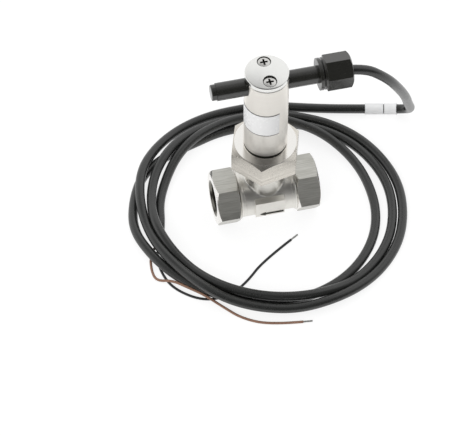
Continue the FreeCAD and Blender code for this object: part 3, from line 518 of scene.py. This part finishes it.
@dataclass
class Workshop:
    """Keeps each material once, dresses nodes and turns bmeshes into pieces."""

    made: dict[str, Material] = field(default_factory=dict)

    def material(self, finish: Finish) -> Material:
        """Give the material of a finish, made once."""
        if finish.name not in self.made:
            self.made[finish.name] = finish.make()
        return self.made[finish.name]

    def dress(self, finish: Finish | Material, *nodes: str) -> None:
        """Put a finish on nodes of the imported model.

        Args:
            finish: the finish, or a material that is ready.
            nodes: names of the nodes.
        """
        material = self.material(finish) if isinstance(finish, Finish) else finish
        for name in nodes:
            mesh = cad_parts[name].data
            mesh.materials.clear()
            mesh.materials.append(material)
            LOG.info("node %s in %s", name, material.name)

    def piece(
        self, name: str, bm: BMesh, finish: Finish, slot: str, body: Body = Body.BASE, wall: float = 0.0
    ) -> Object:
        """Turn a bmesh into a piece that rides on a body.

        Args:
            name: name of the piece.
            bm: its shape in metres, which is freed.
            finish: its surface.
            slot: material slot of the record that it belongs to; not used.
            body: body that carries it.
            wall: thickness in millimetres that a sheet gets, or nought.

        Returns:
            The piece.
        """
        if wall:
            bmesh.ops.recalc_face_normals(bm, faces=bm.faces)
            bmesh.ops.solidify(bm, geom=bm.faces[:], thickness=wall * MM)
        bmesh.ops.remove_doubles(bm, verts=bm.verts, dist=1e-7)
        bmesh.ops.recalc_face_normals(bm, faces=bm.faces)
        mesh = bpy.data.meshes.new(name)
        bm.to_mesh(mesh)
        bm.free()
        return self.own(bpy.data.objects.new(name, mesh), finish, slot, body)

    def own(self, piece: Object, finish: Finish, slot: str, body: Body) -> Object:
        """Link a new object, dress it and let it ride on a body; returns the object."""
        show(piece)
        piece.data.materials.append(self.material(finish))
        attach(piece, body.value)
        LOG.info("piece %s on %s", piece.name, body.value)
        return piece


@dataclass
class Assembly:
    """A sub-assembly of the switch.

    Attributes:
        shop: maker of its materials and pieces.
    """

    shop: Workshop


@dataclass
class PipeTee(Assembly):
    """Cast tee with its gasket, cast fillets, port threads and the flow mark on its pad; millimetres."""

    pitch: float = 1.814
    thread_root: float = 9.29
    thread_crest: float = 8.75
    thread_start: float = 1.4
    thread_turns: int = 6
    thread_flank: float = 0.42
    steps_per_turn: int = 64
    run_length: float = 60.0
    pad_face: float = -15.4
    arrow_left: float = 24.2
    arrow_right: float = 37.8
    arrow_head: float = 3.2
    arrow_half_head: float = 1.3
    arrow_half_bar: float = 0.5
    arrow_level: float = -2.5
    arrow_relief: float = 0.4
    arrow_edge: float = 0.18
    run_radius: float = 13.5
    fillet_rise: float = 1.1
    fillet_reach: float = 2.4
    fillet_steps: int = 8
    ring_steps: int = 96
    # How deep a piece is sunk into the casting that carries it.
    sunk: float = 0.2

    def build(self) -> None:
        """Dress the tee's nodes and add its threads, flow mark and fillets."""
        self.shop.dress(CAST_STAINLESS, "tee_body")
        self.shop.dress(NITRILE_RUBBER, "neck_gasket")
        self.cut_thread("outlet_thread", self.thread_start, 1.0)
        self.cut_thread("inlet_thread", self.run_length - self.thread_start, -1.0)
        self.raise_arrow()
        self.cast_fillet("fillet_outlet", BRANCH_X - HEX_START, 1.0)
        self.cast_fillet("fillet_inlet", BRANCH_X + HEX_START, -1.0)

    def cast_fillet(self, name: str, root: float, way: float) -> None:
        """Round the root between a hexagon and the run, as the mould leaves it.

        Args:
            name: name of the piece.
            root: where the hexagon ends along the run.
            way: one from the outlet's hexagon, minus one from the inlet's.
        """
        turns = [math.pi / 2.0 * step / self.fillet_steps for step in range(self.fillet_steps + 1)]
        hollow = [(self.fillet_reach * (1.0 - math.cos(t)), self.fillet_rise * (1.0 - math.sin(t))) for t in turns]
        ends = ((-self.sunk, -self.sunk), (-self.sunk, self.fillet_rise), (self.fillet_reach, -self.sunk))
        section = [*ends[:2], *hollow, ends[2]]
        corners = [Vector((root + way * x, 0.0, self.run_radius + r)) for x, r in section]
        bm = turn_ring(corners, Vector(), (1.0, 0.0, 0.0), self.ring_steps)
        fillet = self.shop.piece(name, bm, CAST_STAINLESS, "cast_stainless")
        for face in fillet.data.polygons:
            face.use_smooth = True

    def cut_thread(self, name: str, start: float, way: float) -> None:
        """Wind a thread's ridge into one port.

        Args:
            name: name of the piece.
            start: where the ridge starts along the run.
            way: one into the run from the outlet, minus one from the inlet.
        """
        bm = bmesh.new()
        half = self.pitch * self.thread_flank
        section = ((-half, self.thread_root), (0.0, self.thread_crest), (half, self.thread_root))
        corners = [bm.verts.new(Vector((start + way * (half + x), 0.0, r)) * MM) for x, r in section]
        edges = [bm.edges.new((corners[side], corners[side - 1])) for side in range(len(corners))]
        lead = way * self.pitch / self.steps_per_turn * MM
        bmesh.ops.spin(
            bm, geom=corners + edges, axis=(1.0, 0.0, 0.0), dvec=(lead, 0.0, 0.0),
            angle=math.tau * self.thread_turns, steps=self.steps_per_turn * self.thread_turns,
        )
        rims = [edge for edge in bm.edges if edge.is_boundary]
        bmesh.ops.holes_fill(bm, edges=rims, sides=len(section))
        self.shop.piece(name, bm, TAPPED_SHADED_STAINLESS, "cast_stainless")

    def raise_arrow(self) -> None:
        """Raise the plain flow arrow on the pad, pointing to the outlet."""
        neck = self.arrow_left + self.arrow_head
        half = ((neck, self.arrow_half_head), (neck, self.arrow_half_bar), (self.arrow_right, self.arrow_half_bar))
        outline = [(self.arrow_left, 0.0), *((x, -z) for x, z in half), *reversed(half)]
        bm = bmesh.new()
        rear = self.pad_face + self.sunk
        corners = [bm.verts.new(Vector((x, rear, self.arrow_level + z)) * MM) for x, z in outline]
        grown = bmesh.ops.extrude_face_region(bm, geom=[bm.faces.new(corners)])["geom"]
        front = [item for item in grown if isinstance(item, BMVert)]
        bmesh.ops.translate(bm, verts=front, vec=(0.0, -(self.arrow_relief + self.sunk) * MM, 0.0))
        rims = [edge for edge in bm.edges if all(vert in front for vert in edge.verts)]
        bmesh.ops.bevel(bm, geom=rims, offset=self.arrow_edge * MM, segments=3, profile=0.5, affect="EDGES")
        # The arrow is coloured dark with painted shade.
        self.shop.piece("flow_arrow", bm, CAST_MARK_SHADE, "cast_stainless")


@dataclass
class SwitchHead(Assembly):
    """Screwed insert, housing, clamp cap and screws, with the bare label and painted shade in gaps and recesses;
    millimetres.
    """

    housing_radius: float = 12.25
    label_bottom: float = 64.4
    label_top: float = 81.8
    label_from: float = 140.0
    label_to: float = 293.0
    label_film: float = 0.05
    label_border: float = 0.6
    label_corner: float = 0.45
    label_steps: int = 72
    border_rise: float = 0.02
    film_rise: float = 0.08
    screw_y: float = 7.1
    recess_arm: float = 2.06
    recess_half: float = 0.51
    recess_floor: float = 104.13
    recess_rim: float = 104.95
    recess_lining: float = 0.05
    # Inner and outer radius, and lower and upper level, of the painted shade in two kinds of gap.
    pocket: Limits = (3.52, 3.88, 103.82, 105.15)
    groove: Limits = (10.87, 11.95, 45.02, 45.98)
    ring_steps: int = 64

    def build(self) -> None:
        """Dress the head's nodes, stick on its label and fill its gaps and screw recesses with painted shade."""
        self.shop.dress(MILLED_STAINLESS, "hex_insert")
        self.shop.dress(TURNED_STAINLESS, "sensor_housing")
        self.shop.dress(FROSTED_STAINLESS, "clamp_cap")
        self.shop.dress(GROUND_STEEL, "clamp_screws", "pivot_pin")
        self.shop.dress(NITRILE_RUBBER, "housing_seal")
        self.shop.dress(NATURAL_ACETAL, "bearing_carrier", "thrust_washers")
        self.shop.dress(NICKELLED_MAGNET, "return_magnet")
        self.wrap_film("label_border_line", LABEL_BORDER, 0.0, self.border_rise)
        self.wrap_film("label_film", LABEL_FILM, self.label_border, self.film_rise)
        # Painted shade: a dark lining in each screw's cross recess, a dark ring round each head, and one in the
        # groove at the housing's foot.
        for end, y in (("front", -self.screw_y), ("rear", self.screw_y)):
            self.shade_recess(f"recess_{end}", y)
            self.fill_shade_ring(f"pocket_{end}", y, self.pocket)
        self.fill_shade_ring("groove_shade", 0.0, self.groove)

    def fill_shade_ring(self, name: str, y: float, sizes: Limits) -> None:
        """Fill a narrow gap with a ring of painted shade.

        Args:
            name: name of the piece.
            y: place of its upright axis across the rod.
            sizes: inner and outer radius, and lower and upper level.
        """
        inner, outer, bottom, top = sizes
        section = ((inner, bottom), (outer, bottom), (outer, top), (inner, top))
        corners = [Vector((BRANCH_X + r, y, z)) for r, z in section]
        bm = turn_ring(corners, Vector((BRANCH_X, y, 0.0)), (0.0, 0.0, 1.0), self.ring_steps)
        self.shop.piece(name, bm, RECESS_SHADE, "black_rubber")

    def shade_recess(self, name: str, y: float) -> None:
        """Line the cross recess of one screw with painted shade.

        Args:
            name: name of the piece.
            y: place of the screw across the rod.
        """
        # In a grid of three by three, only corner squares and outer points lie further out than this.
        outer = 0.9
        bm = bmesh.new()
        bmesh.ops.create_grid(bm, x_segments=3, y_segments=3, size=1.0)
        squares = [face for face in bm.faces if face.calc_center_median().length > outer]
        bmesh.ops.delete(bm, geom=squares, context="FACES")
        for vert in bm.verts:
            for axis in (0, 1):
                reach = self.recess_arm if abs(vert.co[axis]) > outer else self.recess_half
                vert.co[axis] = math.copysign(reach, vert.co[axis])
        rims = [edge for edge in bm.edges if edge.is_boundary]
        grown = bmesh.ops.extrude_edge_only(bm, edges=rims)["geom"]
        upper = [item for item in grown if isinstance(item, BMVert)]
        bmesh.ops.translate(bm, verts=upper, vec=(0.0, 0.0, self.recess_rim - self.recess_floor))
        bmesh.ops.translate(bm, verts=bm.verts, vec=(BRANCH_X, y, self.recess_floor))
        bmesh.ops.scale(bm, verts=bm.verts, vec=(MM, MM, MM))
        self.shop.piece(name, bm, RECESS_SHADE, "ground_steel", wall=self.recess_lining)

    def wrap_film(self, name: str, finish: Finish, margin: float, rise: float) -> None:
        """Wrap one film of the label, with rounded corners, round the housing.

        Args:
            name: name of the piece.
            finish: its surface.
            margin: how far it stays inside the label's upper and lower edge.
            rise: gap between the housing and the film.
        """
        bm = bmesh.new()
        radius = self.housing_radius + rise
        start = math.radians(self.label_from)
        spot = Vector((BRANCH_X + radius * math.cos(start), radius * math.sin(start), 0.0))
        levels = (self.label_bottom + margin, self.label_top - margin)
        ends = [bm.verts.new((spot + Vector((0.0, 0.0, z))) * MM) for z in levels]
        bmesh.ops.spin(
            bm, geom=[*ends, bm.edges.new(ends)], cent=(BRANCH_X * MM, 0.0, 0.0), axis=(0.0, 0.0, 1.0),
            angle=math.radians(self.label_to - self.label_from), steps=self.label_steps,
        )
        tips = [vert for vert in bm.verts if len(vert.link_edges) == 2]
        bmesh.ops.bevel(bm, geom=tips, offset=self.label_corner * MM, segments=4, profile=0.5, affect="VERTICES")
        self.shop.piece(name, bm, finish, "white_sleeve", wall=-self.label_film)


@dataclass
class Paddle(Assembly):
    """Lever with its blade and its magnet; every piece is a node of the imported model."""

    def build(self) -> None:
        """Dress the paddle's nodes."""
        self.shop.dress(MILLED_STAINLESS, "paddle_lever")
        self.shop.dress(GROUND_STEEL, "paddle_blade", "blade_rivets")
        self.shop.dress(NATURAL_ACETAL, "magnet_holder")
        self.shop.dress(NICKELLED_MAGNET, "lever_magnet")


@dataclass
class ReedRod(Assembly):
    """Plastic rod with its reed contact, and the cable gland on its end."""

    def build(self) -> None:
        """Dress the rod's nodes."""
        self.shop.dress(BLACK_POLYAMIDE, "reed_tube", "gland_body", "gland_nut", "thrust_ring")
        self.shop.dress(POLISHED_POLYAMIDE, "rod_end_plug")
        self.shop.dress(NATURAL_ACETAL, "reed_carrier")
        self.shop.dress(make_glass(), "reed_capsule")
        self.shop.dress(TINNED_COPPER, "reed_wires")
        self.shop.dress(NITRILE_RUBBER, "gland_seal")


@dataclass(frozen=True)
class Hump:
    """A stretch of the coil that is lifted over another strand.

    Attributes:
        angle: middle of the hump along the winding, in degrees.
        reach: half its length, in degrees.
        height: lift at its middle, in millimetres.
    """

    angle: float
    reach: float
    height: float

    def lift(self, angle: float) -> float:
        """Height of the hump at an angle along the winding."""
        share = min(abs(angle - self.angle) / self.reach, 1.0)
        return self.height * 0.5 * (1.0 + math.cos(math.pi * share))


# Control points of the cords in millimetres, each from its root to its end.
LEAD_POINTS = (
    (64.0, 0.0, 95.5), (83.1, 0.0, 95.5), (98.0, -0.8, 83.0), (108.0, 6.5, 62.5),
    (116.4, 17.6, 39.5), (122.6, 29.8, 16.4), (127.6, 39.0, 0.3), (128.6, 47.6, -11.5),
    (104.7, 53.1, -11.5), (84.5, 58.1, -12.0), (66.0, 63.4, -12.2), (49.0, 68.8, -12.25),
)
CABLE_END = ((-31.2, -2.0, -12.25), (-33.4, -9.0, -12.25))
BROWN_POINTS = (
    (-34.2, -9.1, -12.4), (-36.4, -15.0, -13.8), (-41.6, -22.0, -14.2), (-43.0, -32.5, -14.2),
    (-41.5, -39.6, -14.0), (-33.0, -42.0, -12.8), (-25.6, -50.2, -10.8), (-18.0, -56.6, -11.0),
    (-9.0, -65.6, -13.4), (0.0, -75.2, -14.2), (14.5, -82.6, -14.2), (32.6, -84.7, -14.2),
)
BLACK_POINTS = (
    (-32.5, -9.1, -12.4), (-34.4, -15.4, -13.8), (-38.0, -22.0, -14.2), (-38.0, -34.0, -14.2),
    (-33.4, -47.0, -14.2), (-19.0, -58.6, -14.2), (-4.0, -58.6, -14.2), (8.0, -51.5, -14.2),
    (20.0, -39.5, -14.2), (39.3, -28.2, -14.2),
)
# Radius of the winding in millimetres every 30 degrees from the back, turn by turn.
COIL_RADII = (
    (72.8, 75.4, 75.4, 70.6, 68.2, 72.0, 74.6, 77.0, 78.5, 77.6, 73.8, 68.6),
    (66.4, 66.8, 67.3, 65.8, 62.6, 64.8, 68.3, 71.8, 72.8, 71.6, 68.0, 63.0),
    (59.2, 62.0, 75.2, 78.0, 71.2, 67.4, 66.9, 66.0, 63.9, 60.9, 60.5, 59.6),
    (62.4, 61.5, 60.8, 62.4),
)
COIL_HUMPS = (
    Hump(157.0, 46.0, 6.2), Hump(200.0, 38.0, 5.2), Hump(226.0, 46.0, 6.8), Hump(255.0, 40.0, 4.2),
    Hump(284.0, 36.0, 3.4), Hump(495.0, 46.0, 6.4), Hump(544.0, 46.0, 6.3), Hump(596.0, 36.0, 5.8),
    Hump(620.0, 44.0, 6.4), Hump(636.0, 34.0, 4.7), Hump(912.0, 25.0, 1.9), Hump(953.0, 22.0, 1.6),
    Hump(1140.0, 44.0, 5.4), Hump(1158.0, 44.0, 5.9), Hump(1178.0, 44.0, 5.9), Hump(1203.0, 40.0, 6.3),
)


@dataclass
class Cable(Assembly):
    """Cable from the gland to its bare cores: a lead, a loose coil, a marker and two cores; millimetres."""

    diameter: float = 5.5
    core_diameter: float = 1.5
    floor: float = -15.0
    centre: Pair = (31.0, -3.5)
    first_angle: float = 90.0
    row_step: float = 30.0
    point_step: float = 15.0
    last_angle: float = 1245.0
    exit: Triple = (64.0, 0.0, 95.5)
    # Steps of a curve between two points, in the cord and where a line is measured, and round its side.
    curve_steps: int = 8
    fine_steps: int = 64
    side_steps: int = 6
    marker_from: Triple = (122.6, 49.0, -11.5)
    marker_to: Triple = (104.2, 53.2, -11.5)
    marker_cut: float = 0.42
    marker_inner: float = 2.85
    marker_wall: float = 0.4
    marker_flare: float = 1.05
    strand_radius: float = 0.55
    strand_length: float = 5.2
    strand_count: int = 7
    strand_sides: int = 8
    strand_steps: int = 10
    strand_twist: float = 0.3

    def build(self) -> None:
        """Lay the cable and its cores, and put on the marker and the tinned strands."""
        route = [Vector(spot) for spot in (*LEAD_POINTS, *self.coil_points(), *CABLE_END)]
        cable = self.lay_cord("cable", route, self.diameter, SHEATH_PVC, "cable_sheath")
        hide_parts("cable_lead", "cable_coil")
        sleeves = self.slide_marker(cable)
        for colour, points, finish in (("brown", BROWN_POINTS, BROWN_PVC), ("black", BLACK_POINTS, BLACK_PVC)):
            route = [Vector(spot) for spot in points]
            slot = f"{colour}_insulation"
            core = self.lay_cord(f"{colour}_core", route, self.core_diameter, finish, slot)
            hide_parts(f"core_{colour}")
            strands = self.twist_strands(f"{colour}_strands", route[-1], route[-1] - route[-2])

    def coil_points(self) -> list[Triple]:
        """Points of the winding every few degrees, lifted where it crosses itself."""
        rows = [radius for turn in COIL_RADII for radius in turn]
        # A smooth curve through such points runs a little inside them.
        outward = 1.0 / math.cos(math.radians(self.point_step / 2.0))
        level = self.floor + self.diameter / 2.0
        points = []
        angle = self.first_angle
        while angle <= self.last_angle:
            row, share = divmod((angle - self.first_angle) / self.row_step, 1.0)
            radius = (rows[int(row)] * (1.0 - share) + rows[int(row) + 1] * share) * outward
            x = self.centre[0] + radius * math.cos(math.radians(angle))
            y = self.centre[1] + radius * math.sin(math.radians(angle))
            points.append((x, y, level + max(hump.lift(angle) for hump in COIL_HUMPS)))
            angle += self.point_step
        return points

    def draw_curve(self, name: str, kind: str, points: list[Vector], radius: float) -> Curve:
        """Draw a round curve along points.

        Args:
            name: name of the curve.
            kind: type of its spline.
            points: its points in metres.
            radius: its radius in millimetres.

        Returns:
            The curve.
        """
        curve = bpy.data.curves.new(name, "CURVE")
        curve.dimensions = "3D"
        curve.bevel_depth = radius * MM
        curve.bevel_resolution = self.side_steps
        spline = curve.splines.new(kind)
        spline.points.add(len(points) - 1)
        for point, spot in zip(spline.points, points):
            point.co = (*spot, 1.0)
        return curve

    def lay_cord(
        self, name: str, route: list[Vector], diameter: float, finish: Finish, slot: str
    ) -> Object:
        """Lay a round cord along a smooth curve.

        Args:
            name: name of the piece.
            route: control points in millimetres.
            diameter: thickness in millimetres.
            finish: its surface.
            slot: material slot of the record; not used.

        Returns:
            The curve object.
        """
        curve = self.draw_curve(name, "NURBS", [spot * MM for spot in route], diameter / 2.0)
        curve.use_fill_caps = True
        spline = curve.splines[0]
        spline.order_u = 3
        spline.use_endpoint_u = True
        spline.resolution_u = self.curve_steps
        return self.shop.own(bpy.data.objects.new(name, curve), finish, slot, Body.REED_ROD)

    def stretch(self, cord: Object, start: Vector, end: Vector) -> list[Vector]:
        """Points of a cord's own line between two places near it, in metres.

        Args:
            cord: the cord's curve object.
            start: place near the first point.
            end: place near the last point.

        Returns:
            Points along the line.
        """
        bare = cord.copy()
        bare.data = cord.data.copy()
        bare.data.bevel_depth = 0.0
        bare.data.splines[0].resolution_u = self.fine_steps
        line = [vert.co.copy() for vert in shown_mesh(bare).vertices]
        nearest = [min(range(len(line)), key=lambda k: (line[k] - spot).length) for spot in (start, end)]
        return line[nearest[0] : nearest[1] + 1]

    def slide_marker(self, cable: Object) -> list[Object]:
        """Slide two short white sleeves onto the cable, end to end.

        Args:
            cable: the cable's curve object.

        Returns:
            The two sleeves.
        """
        line = self.stretch(cable, Vector(self.marker_from) * MM, Vector(self.marker_to) * MM)
        cut = int(len(line) * self.marker_cut)
        sleeves = []
        for name, points in (("marker_near", line[: cut + 1]), ("marker_far", line[cut + 2 :])):
            curve = self.draw_curve(name, "POLY", points, self.marker_inner + self.marker_wall)
            # The cut ends flare slightly.
            for end in (0, -1):
                curve.splines[0].points[end].radius = self.marker_flare
            bm = bmesh.new()
            bm.from_mesh(shown_mesh(bpy.data.objects.new(name, curve)))
            bmesh.ops.remove_doubles(bm, verts=bm.verts, dist=1e-6)
            sleeve = self.shop.piece(name, bm, SLEEVE_PVC, "white_sleeve", Body.REED_ROD, self.marker_wall)
            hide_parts("cable_marker")
            sleeves.append(sleeve)
        return sleeves

    def twist_strands(self, name: str, root: Vector, way: Vector) -> Object:
        """Twist the bare strands of one core.

        Args:
            name: name of the piece.
            root: where the insulation ends, in millimetres.
            way: direction of the core there.

        Returns:
            The bundle of strands.
        """
        bm = bmesh.new()
        fine = self.strand_radius / 3.0
        step = self.strand_length / self.strand_steps
        twist = Matrix.Rotation(self.strand_twist, 3, "Z")
        for strand in range(self.strand_count):
            # One strand runs straight in the middle, and the others wind round it.
            ring = 0.0 if strand == 0 else self.strand_radius - fine
            turned = math.tau * strand / (self.strand_count - 1)
            middle = Vector((ring * math.cos(turned), ring * math.sin(turned), 0.0))
            loop = bmesh.ops.create_circle(bm, cap_ends=True, radius=fine, segments=self.strand_sides)["verts"]
            bmesh.ops.translate(bm, verts=loop, vec=middle)
            cap = next(face for face in bm.faces if set(face.verts) == set(loop))
            for _ in range(self.strand_steps):
                grown = bmesh.ops.extrude_face_region(bm, geom=[cap])["geom"]
                loop = [item for item in grown if isinstance(item, BMVert)]
                cap = next(item for item in grown if isinstance(item, BMFace))
                bmesh.ops.translate(bm, verts=loop, vec=(0.0, 0.0, step))
                bmesh.ops.rotate(bm, verts=loop, matrix=twist)
        turn = way.to_track_quat("Z", "Y").to_matrix()
        bmesh.ops.rotate(bm, verts=bm.verts, matrix=turn)
        bmesh.ops.translate(bm, verts=bm.verts, vec=root)
        bmesh.ops.scale(bm, verts=bm.verts, vec=(MM, MM, MM))
        strands = self.shop.piece(name, bm, TINNED_COPPER, "tinned_copper", Body.REED_ROD)
        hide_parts("tinned_ends")
        return strands


@dataclass(frozen=True)
class Lamp:
    """A square soft box.

    Attributes:
        name: name of the lamp.
        spot: where it hangs, in metres.
        aim: what it points at, in metres.
        size: side of its front, in metres.
        power: its light, in watts.
    """

    name: str
    spot: Triple
    aim: Triple
    size: float
    power: float

    def hang(self) -> None:
        """Hang the lamp, unseen by the steel, which mirrors the white room and its dark end instead."""
        light = bpy.data.lights.new(self.name, "AREA")
        light.size = self.size
        light.energy = self.power
        holder = bpy.data.objects.new(self.name, light)
        holder.location = self.spot
        holder.rotation_euler = (Vector(self.aim) - Vector(self.spot)).to_track_quat("-Z", "Y").to_euler()
        holder.visible_glossy = False
        show(holder)


@dataclass
class Studio:
    """Pale floor, soft light and the camera of the photograph; metres."""

    lamps: tuple[Lamp, ...] = (
        Lamp("overhead", (0.1, 0.35, 1.7), (0.1, 0.35, 0.0), 2.4, 11.8),
        Lamp("fill", (-0.75, -1.1, 0.9), (0.03, 0.0, 0.03), 0.8, 12.8),
    )
    eye: Triple = (-0.19463, -0.87145, 1.19173)
    aim: Triple = (0.00385, -0.01513, 0.0)
    roll: float = -0.249
    focal_pixels: float = 2606.5
    image_width: int = 451
    sensor_mm: float = 36.0
    clip: Pair = (0.05, 50.0)
    floor_level: float = -0.015
    floor_half: float = 4.0
    # The floor is light paper for the light that it throws back, and darker but aglow where it is seen.
    floor_tones: Pair = (0.8, 0.25)
    floor_glow: float = 0.82
    # White of the room for diffuse light, and where it is seen or mirrored.
    room_white: Pair = (0.9, 1.0)
    # The room is white at the back and dark behind the camera, and its ceiling is greyer to the left.
    room_depth: Triple = (0.0, 1.0, 0.0)
    room_shade: Limits = (-0.5, 0.0, 0.11, 1.0)
    ceiling_side: Triple = (-0.35, 0.0, 1.0)
    ceiling_shade: Limits = (0.75, 0.92, 1.0, 0.4)

    def build(self) -> None:
        """Set up floor, lights, world and camera."""
        bpy.context.scene.view_settings.view_transform = "Standard"
        self.lay_floor()
        for lamp in self.lamps:
            lamp.hang()
        self.light_world()
        self.place_camera()

    def lay_floor(self) -> None:
        """Lay the white floor, which keeps the shadow of the object."""
        bm = bmesh.new()
        bmesh.ops.create_grid(bm, x_segments=1, y_segments=1, size=self.floor_half)
        bmesh.ops.translate(bm, verts=bm.verts, vec=(0.0, 0.0, self.floor_level))
        mesh = bpy.data.meshes.new("floor")
        bm.to_mesh(mesh)
        bm.free()
        floor = bpy.data.objects.new("floor", mesh)
        show(floor)
        material = bare_material("paper_white")
        tree = material.node_tree
        seen = self.seen_rays(tree, add_node(tree, "LightPath"))
        glow = reckon(tree, "MULTIPLY", seen, self.floor_glow)
        paper = spread(tree, seen, (0.0, 1.0), self.floor_tones)
        settings = {"Roughness": 1.0, "Specular IOR Level": 0.0, "Emission Color": (1.0, 1.0, 1.0, 1.0)}
        shade(tree, settings, {"Base Color": paper, "Emission Strength": glow})
        mesh.materials.append(material)

    def seen_rays(self, tree: Tree, path: Node) -> Socket:
        """One for rays from the camera, from gloss or through glass; returns that socket."""
        direct = reckon(tree, "MAXIMUM", path.outputs["Is Camera Ray"], path.outputs["Is Glossy Ray"])
        return reckon(tree, "MAXIMUM", direct, path.outputs["Is Transmission Ray"])

    def light_world(self) -> None:
        """Surround the scene with a white room, dark behind the camera and greyer at the ceiling's left."""
        world = bpy.data.worlds.new("white_room")
        world.use_nodes = True
        tree = world.node_tree
        tree.nodes.clear()
        path = add_node(tree, "LightPath")
        place = add_node(tree, "TexCoord")
        white = spread(tree, self.seen_rays(tree, path), (0.0, 1.0), self.room_white)
        shades = []
        for towards, limits in ((self.room_depth, self.room_shade), (self.ceiling_side, self.ceiling_shade)):
            along = reckon(tree, "DOT_PRODUCT", place.outputs["Generated"], towards, kind="VectorMath")
            shades.append(spread(tree, along, limits[:2], limits[2:]))
        room = reckon(tree, "MULTIPLY", *shades)
        clear = reckon(tree, "MAXIMUM", path.outputs["Is Camera Ray"], path.outputs["Is Transmission Ray"])
        strength = reckon(tree, "MULTIPLY", white, blend(tree, clear, room, 1.0))
        shader = add_node(tree, "Background", {"Color": (1.0, 1.0, 1.0, 1.0)}, {"Strength": strength})
        add_node(tree, "OutputWorld", links={"Surface": shader.outputs[0]})
        bpy.context.scene.world = world

    def place_camera(self) -> None:
        """Put the camera where the photograph was taken from."""
        camera = bpy.data.cameras.new("camera")
        camera.sensor_width = self.sensor_mm
        camera.lens = self.focal_pixels / self.image_width * self.sensor_mm
        camera.clip_start, camera.clip_end = self.clip
        holder = bpy.data.objects.new("camera", camera)
        way = Vector(self.aim) - Vector(self.eye)
        level = way.to_track_quat("-Z", "Y").to_matrix()
        holder.rotation_euler = (level @ Matrix.Rotation(math.radians(-self.roll), 3, "Z")).to_euler()
        holder.location = self.eye
        show(holder)
        bpy.context.scene.camera = holder


def main() -> None:
    """Dress the switch part by part, then set up the studio."""
    logging.basicConfig(level=logging.INFO)
    shop = Workshop()
    for part in (PipeTee, SwitchHead, Paddle, ReedRod, Cable):
        part(shop).build()
    Studio().build()


if __name__ == "__main__":
    main()
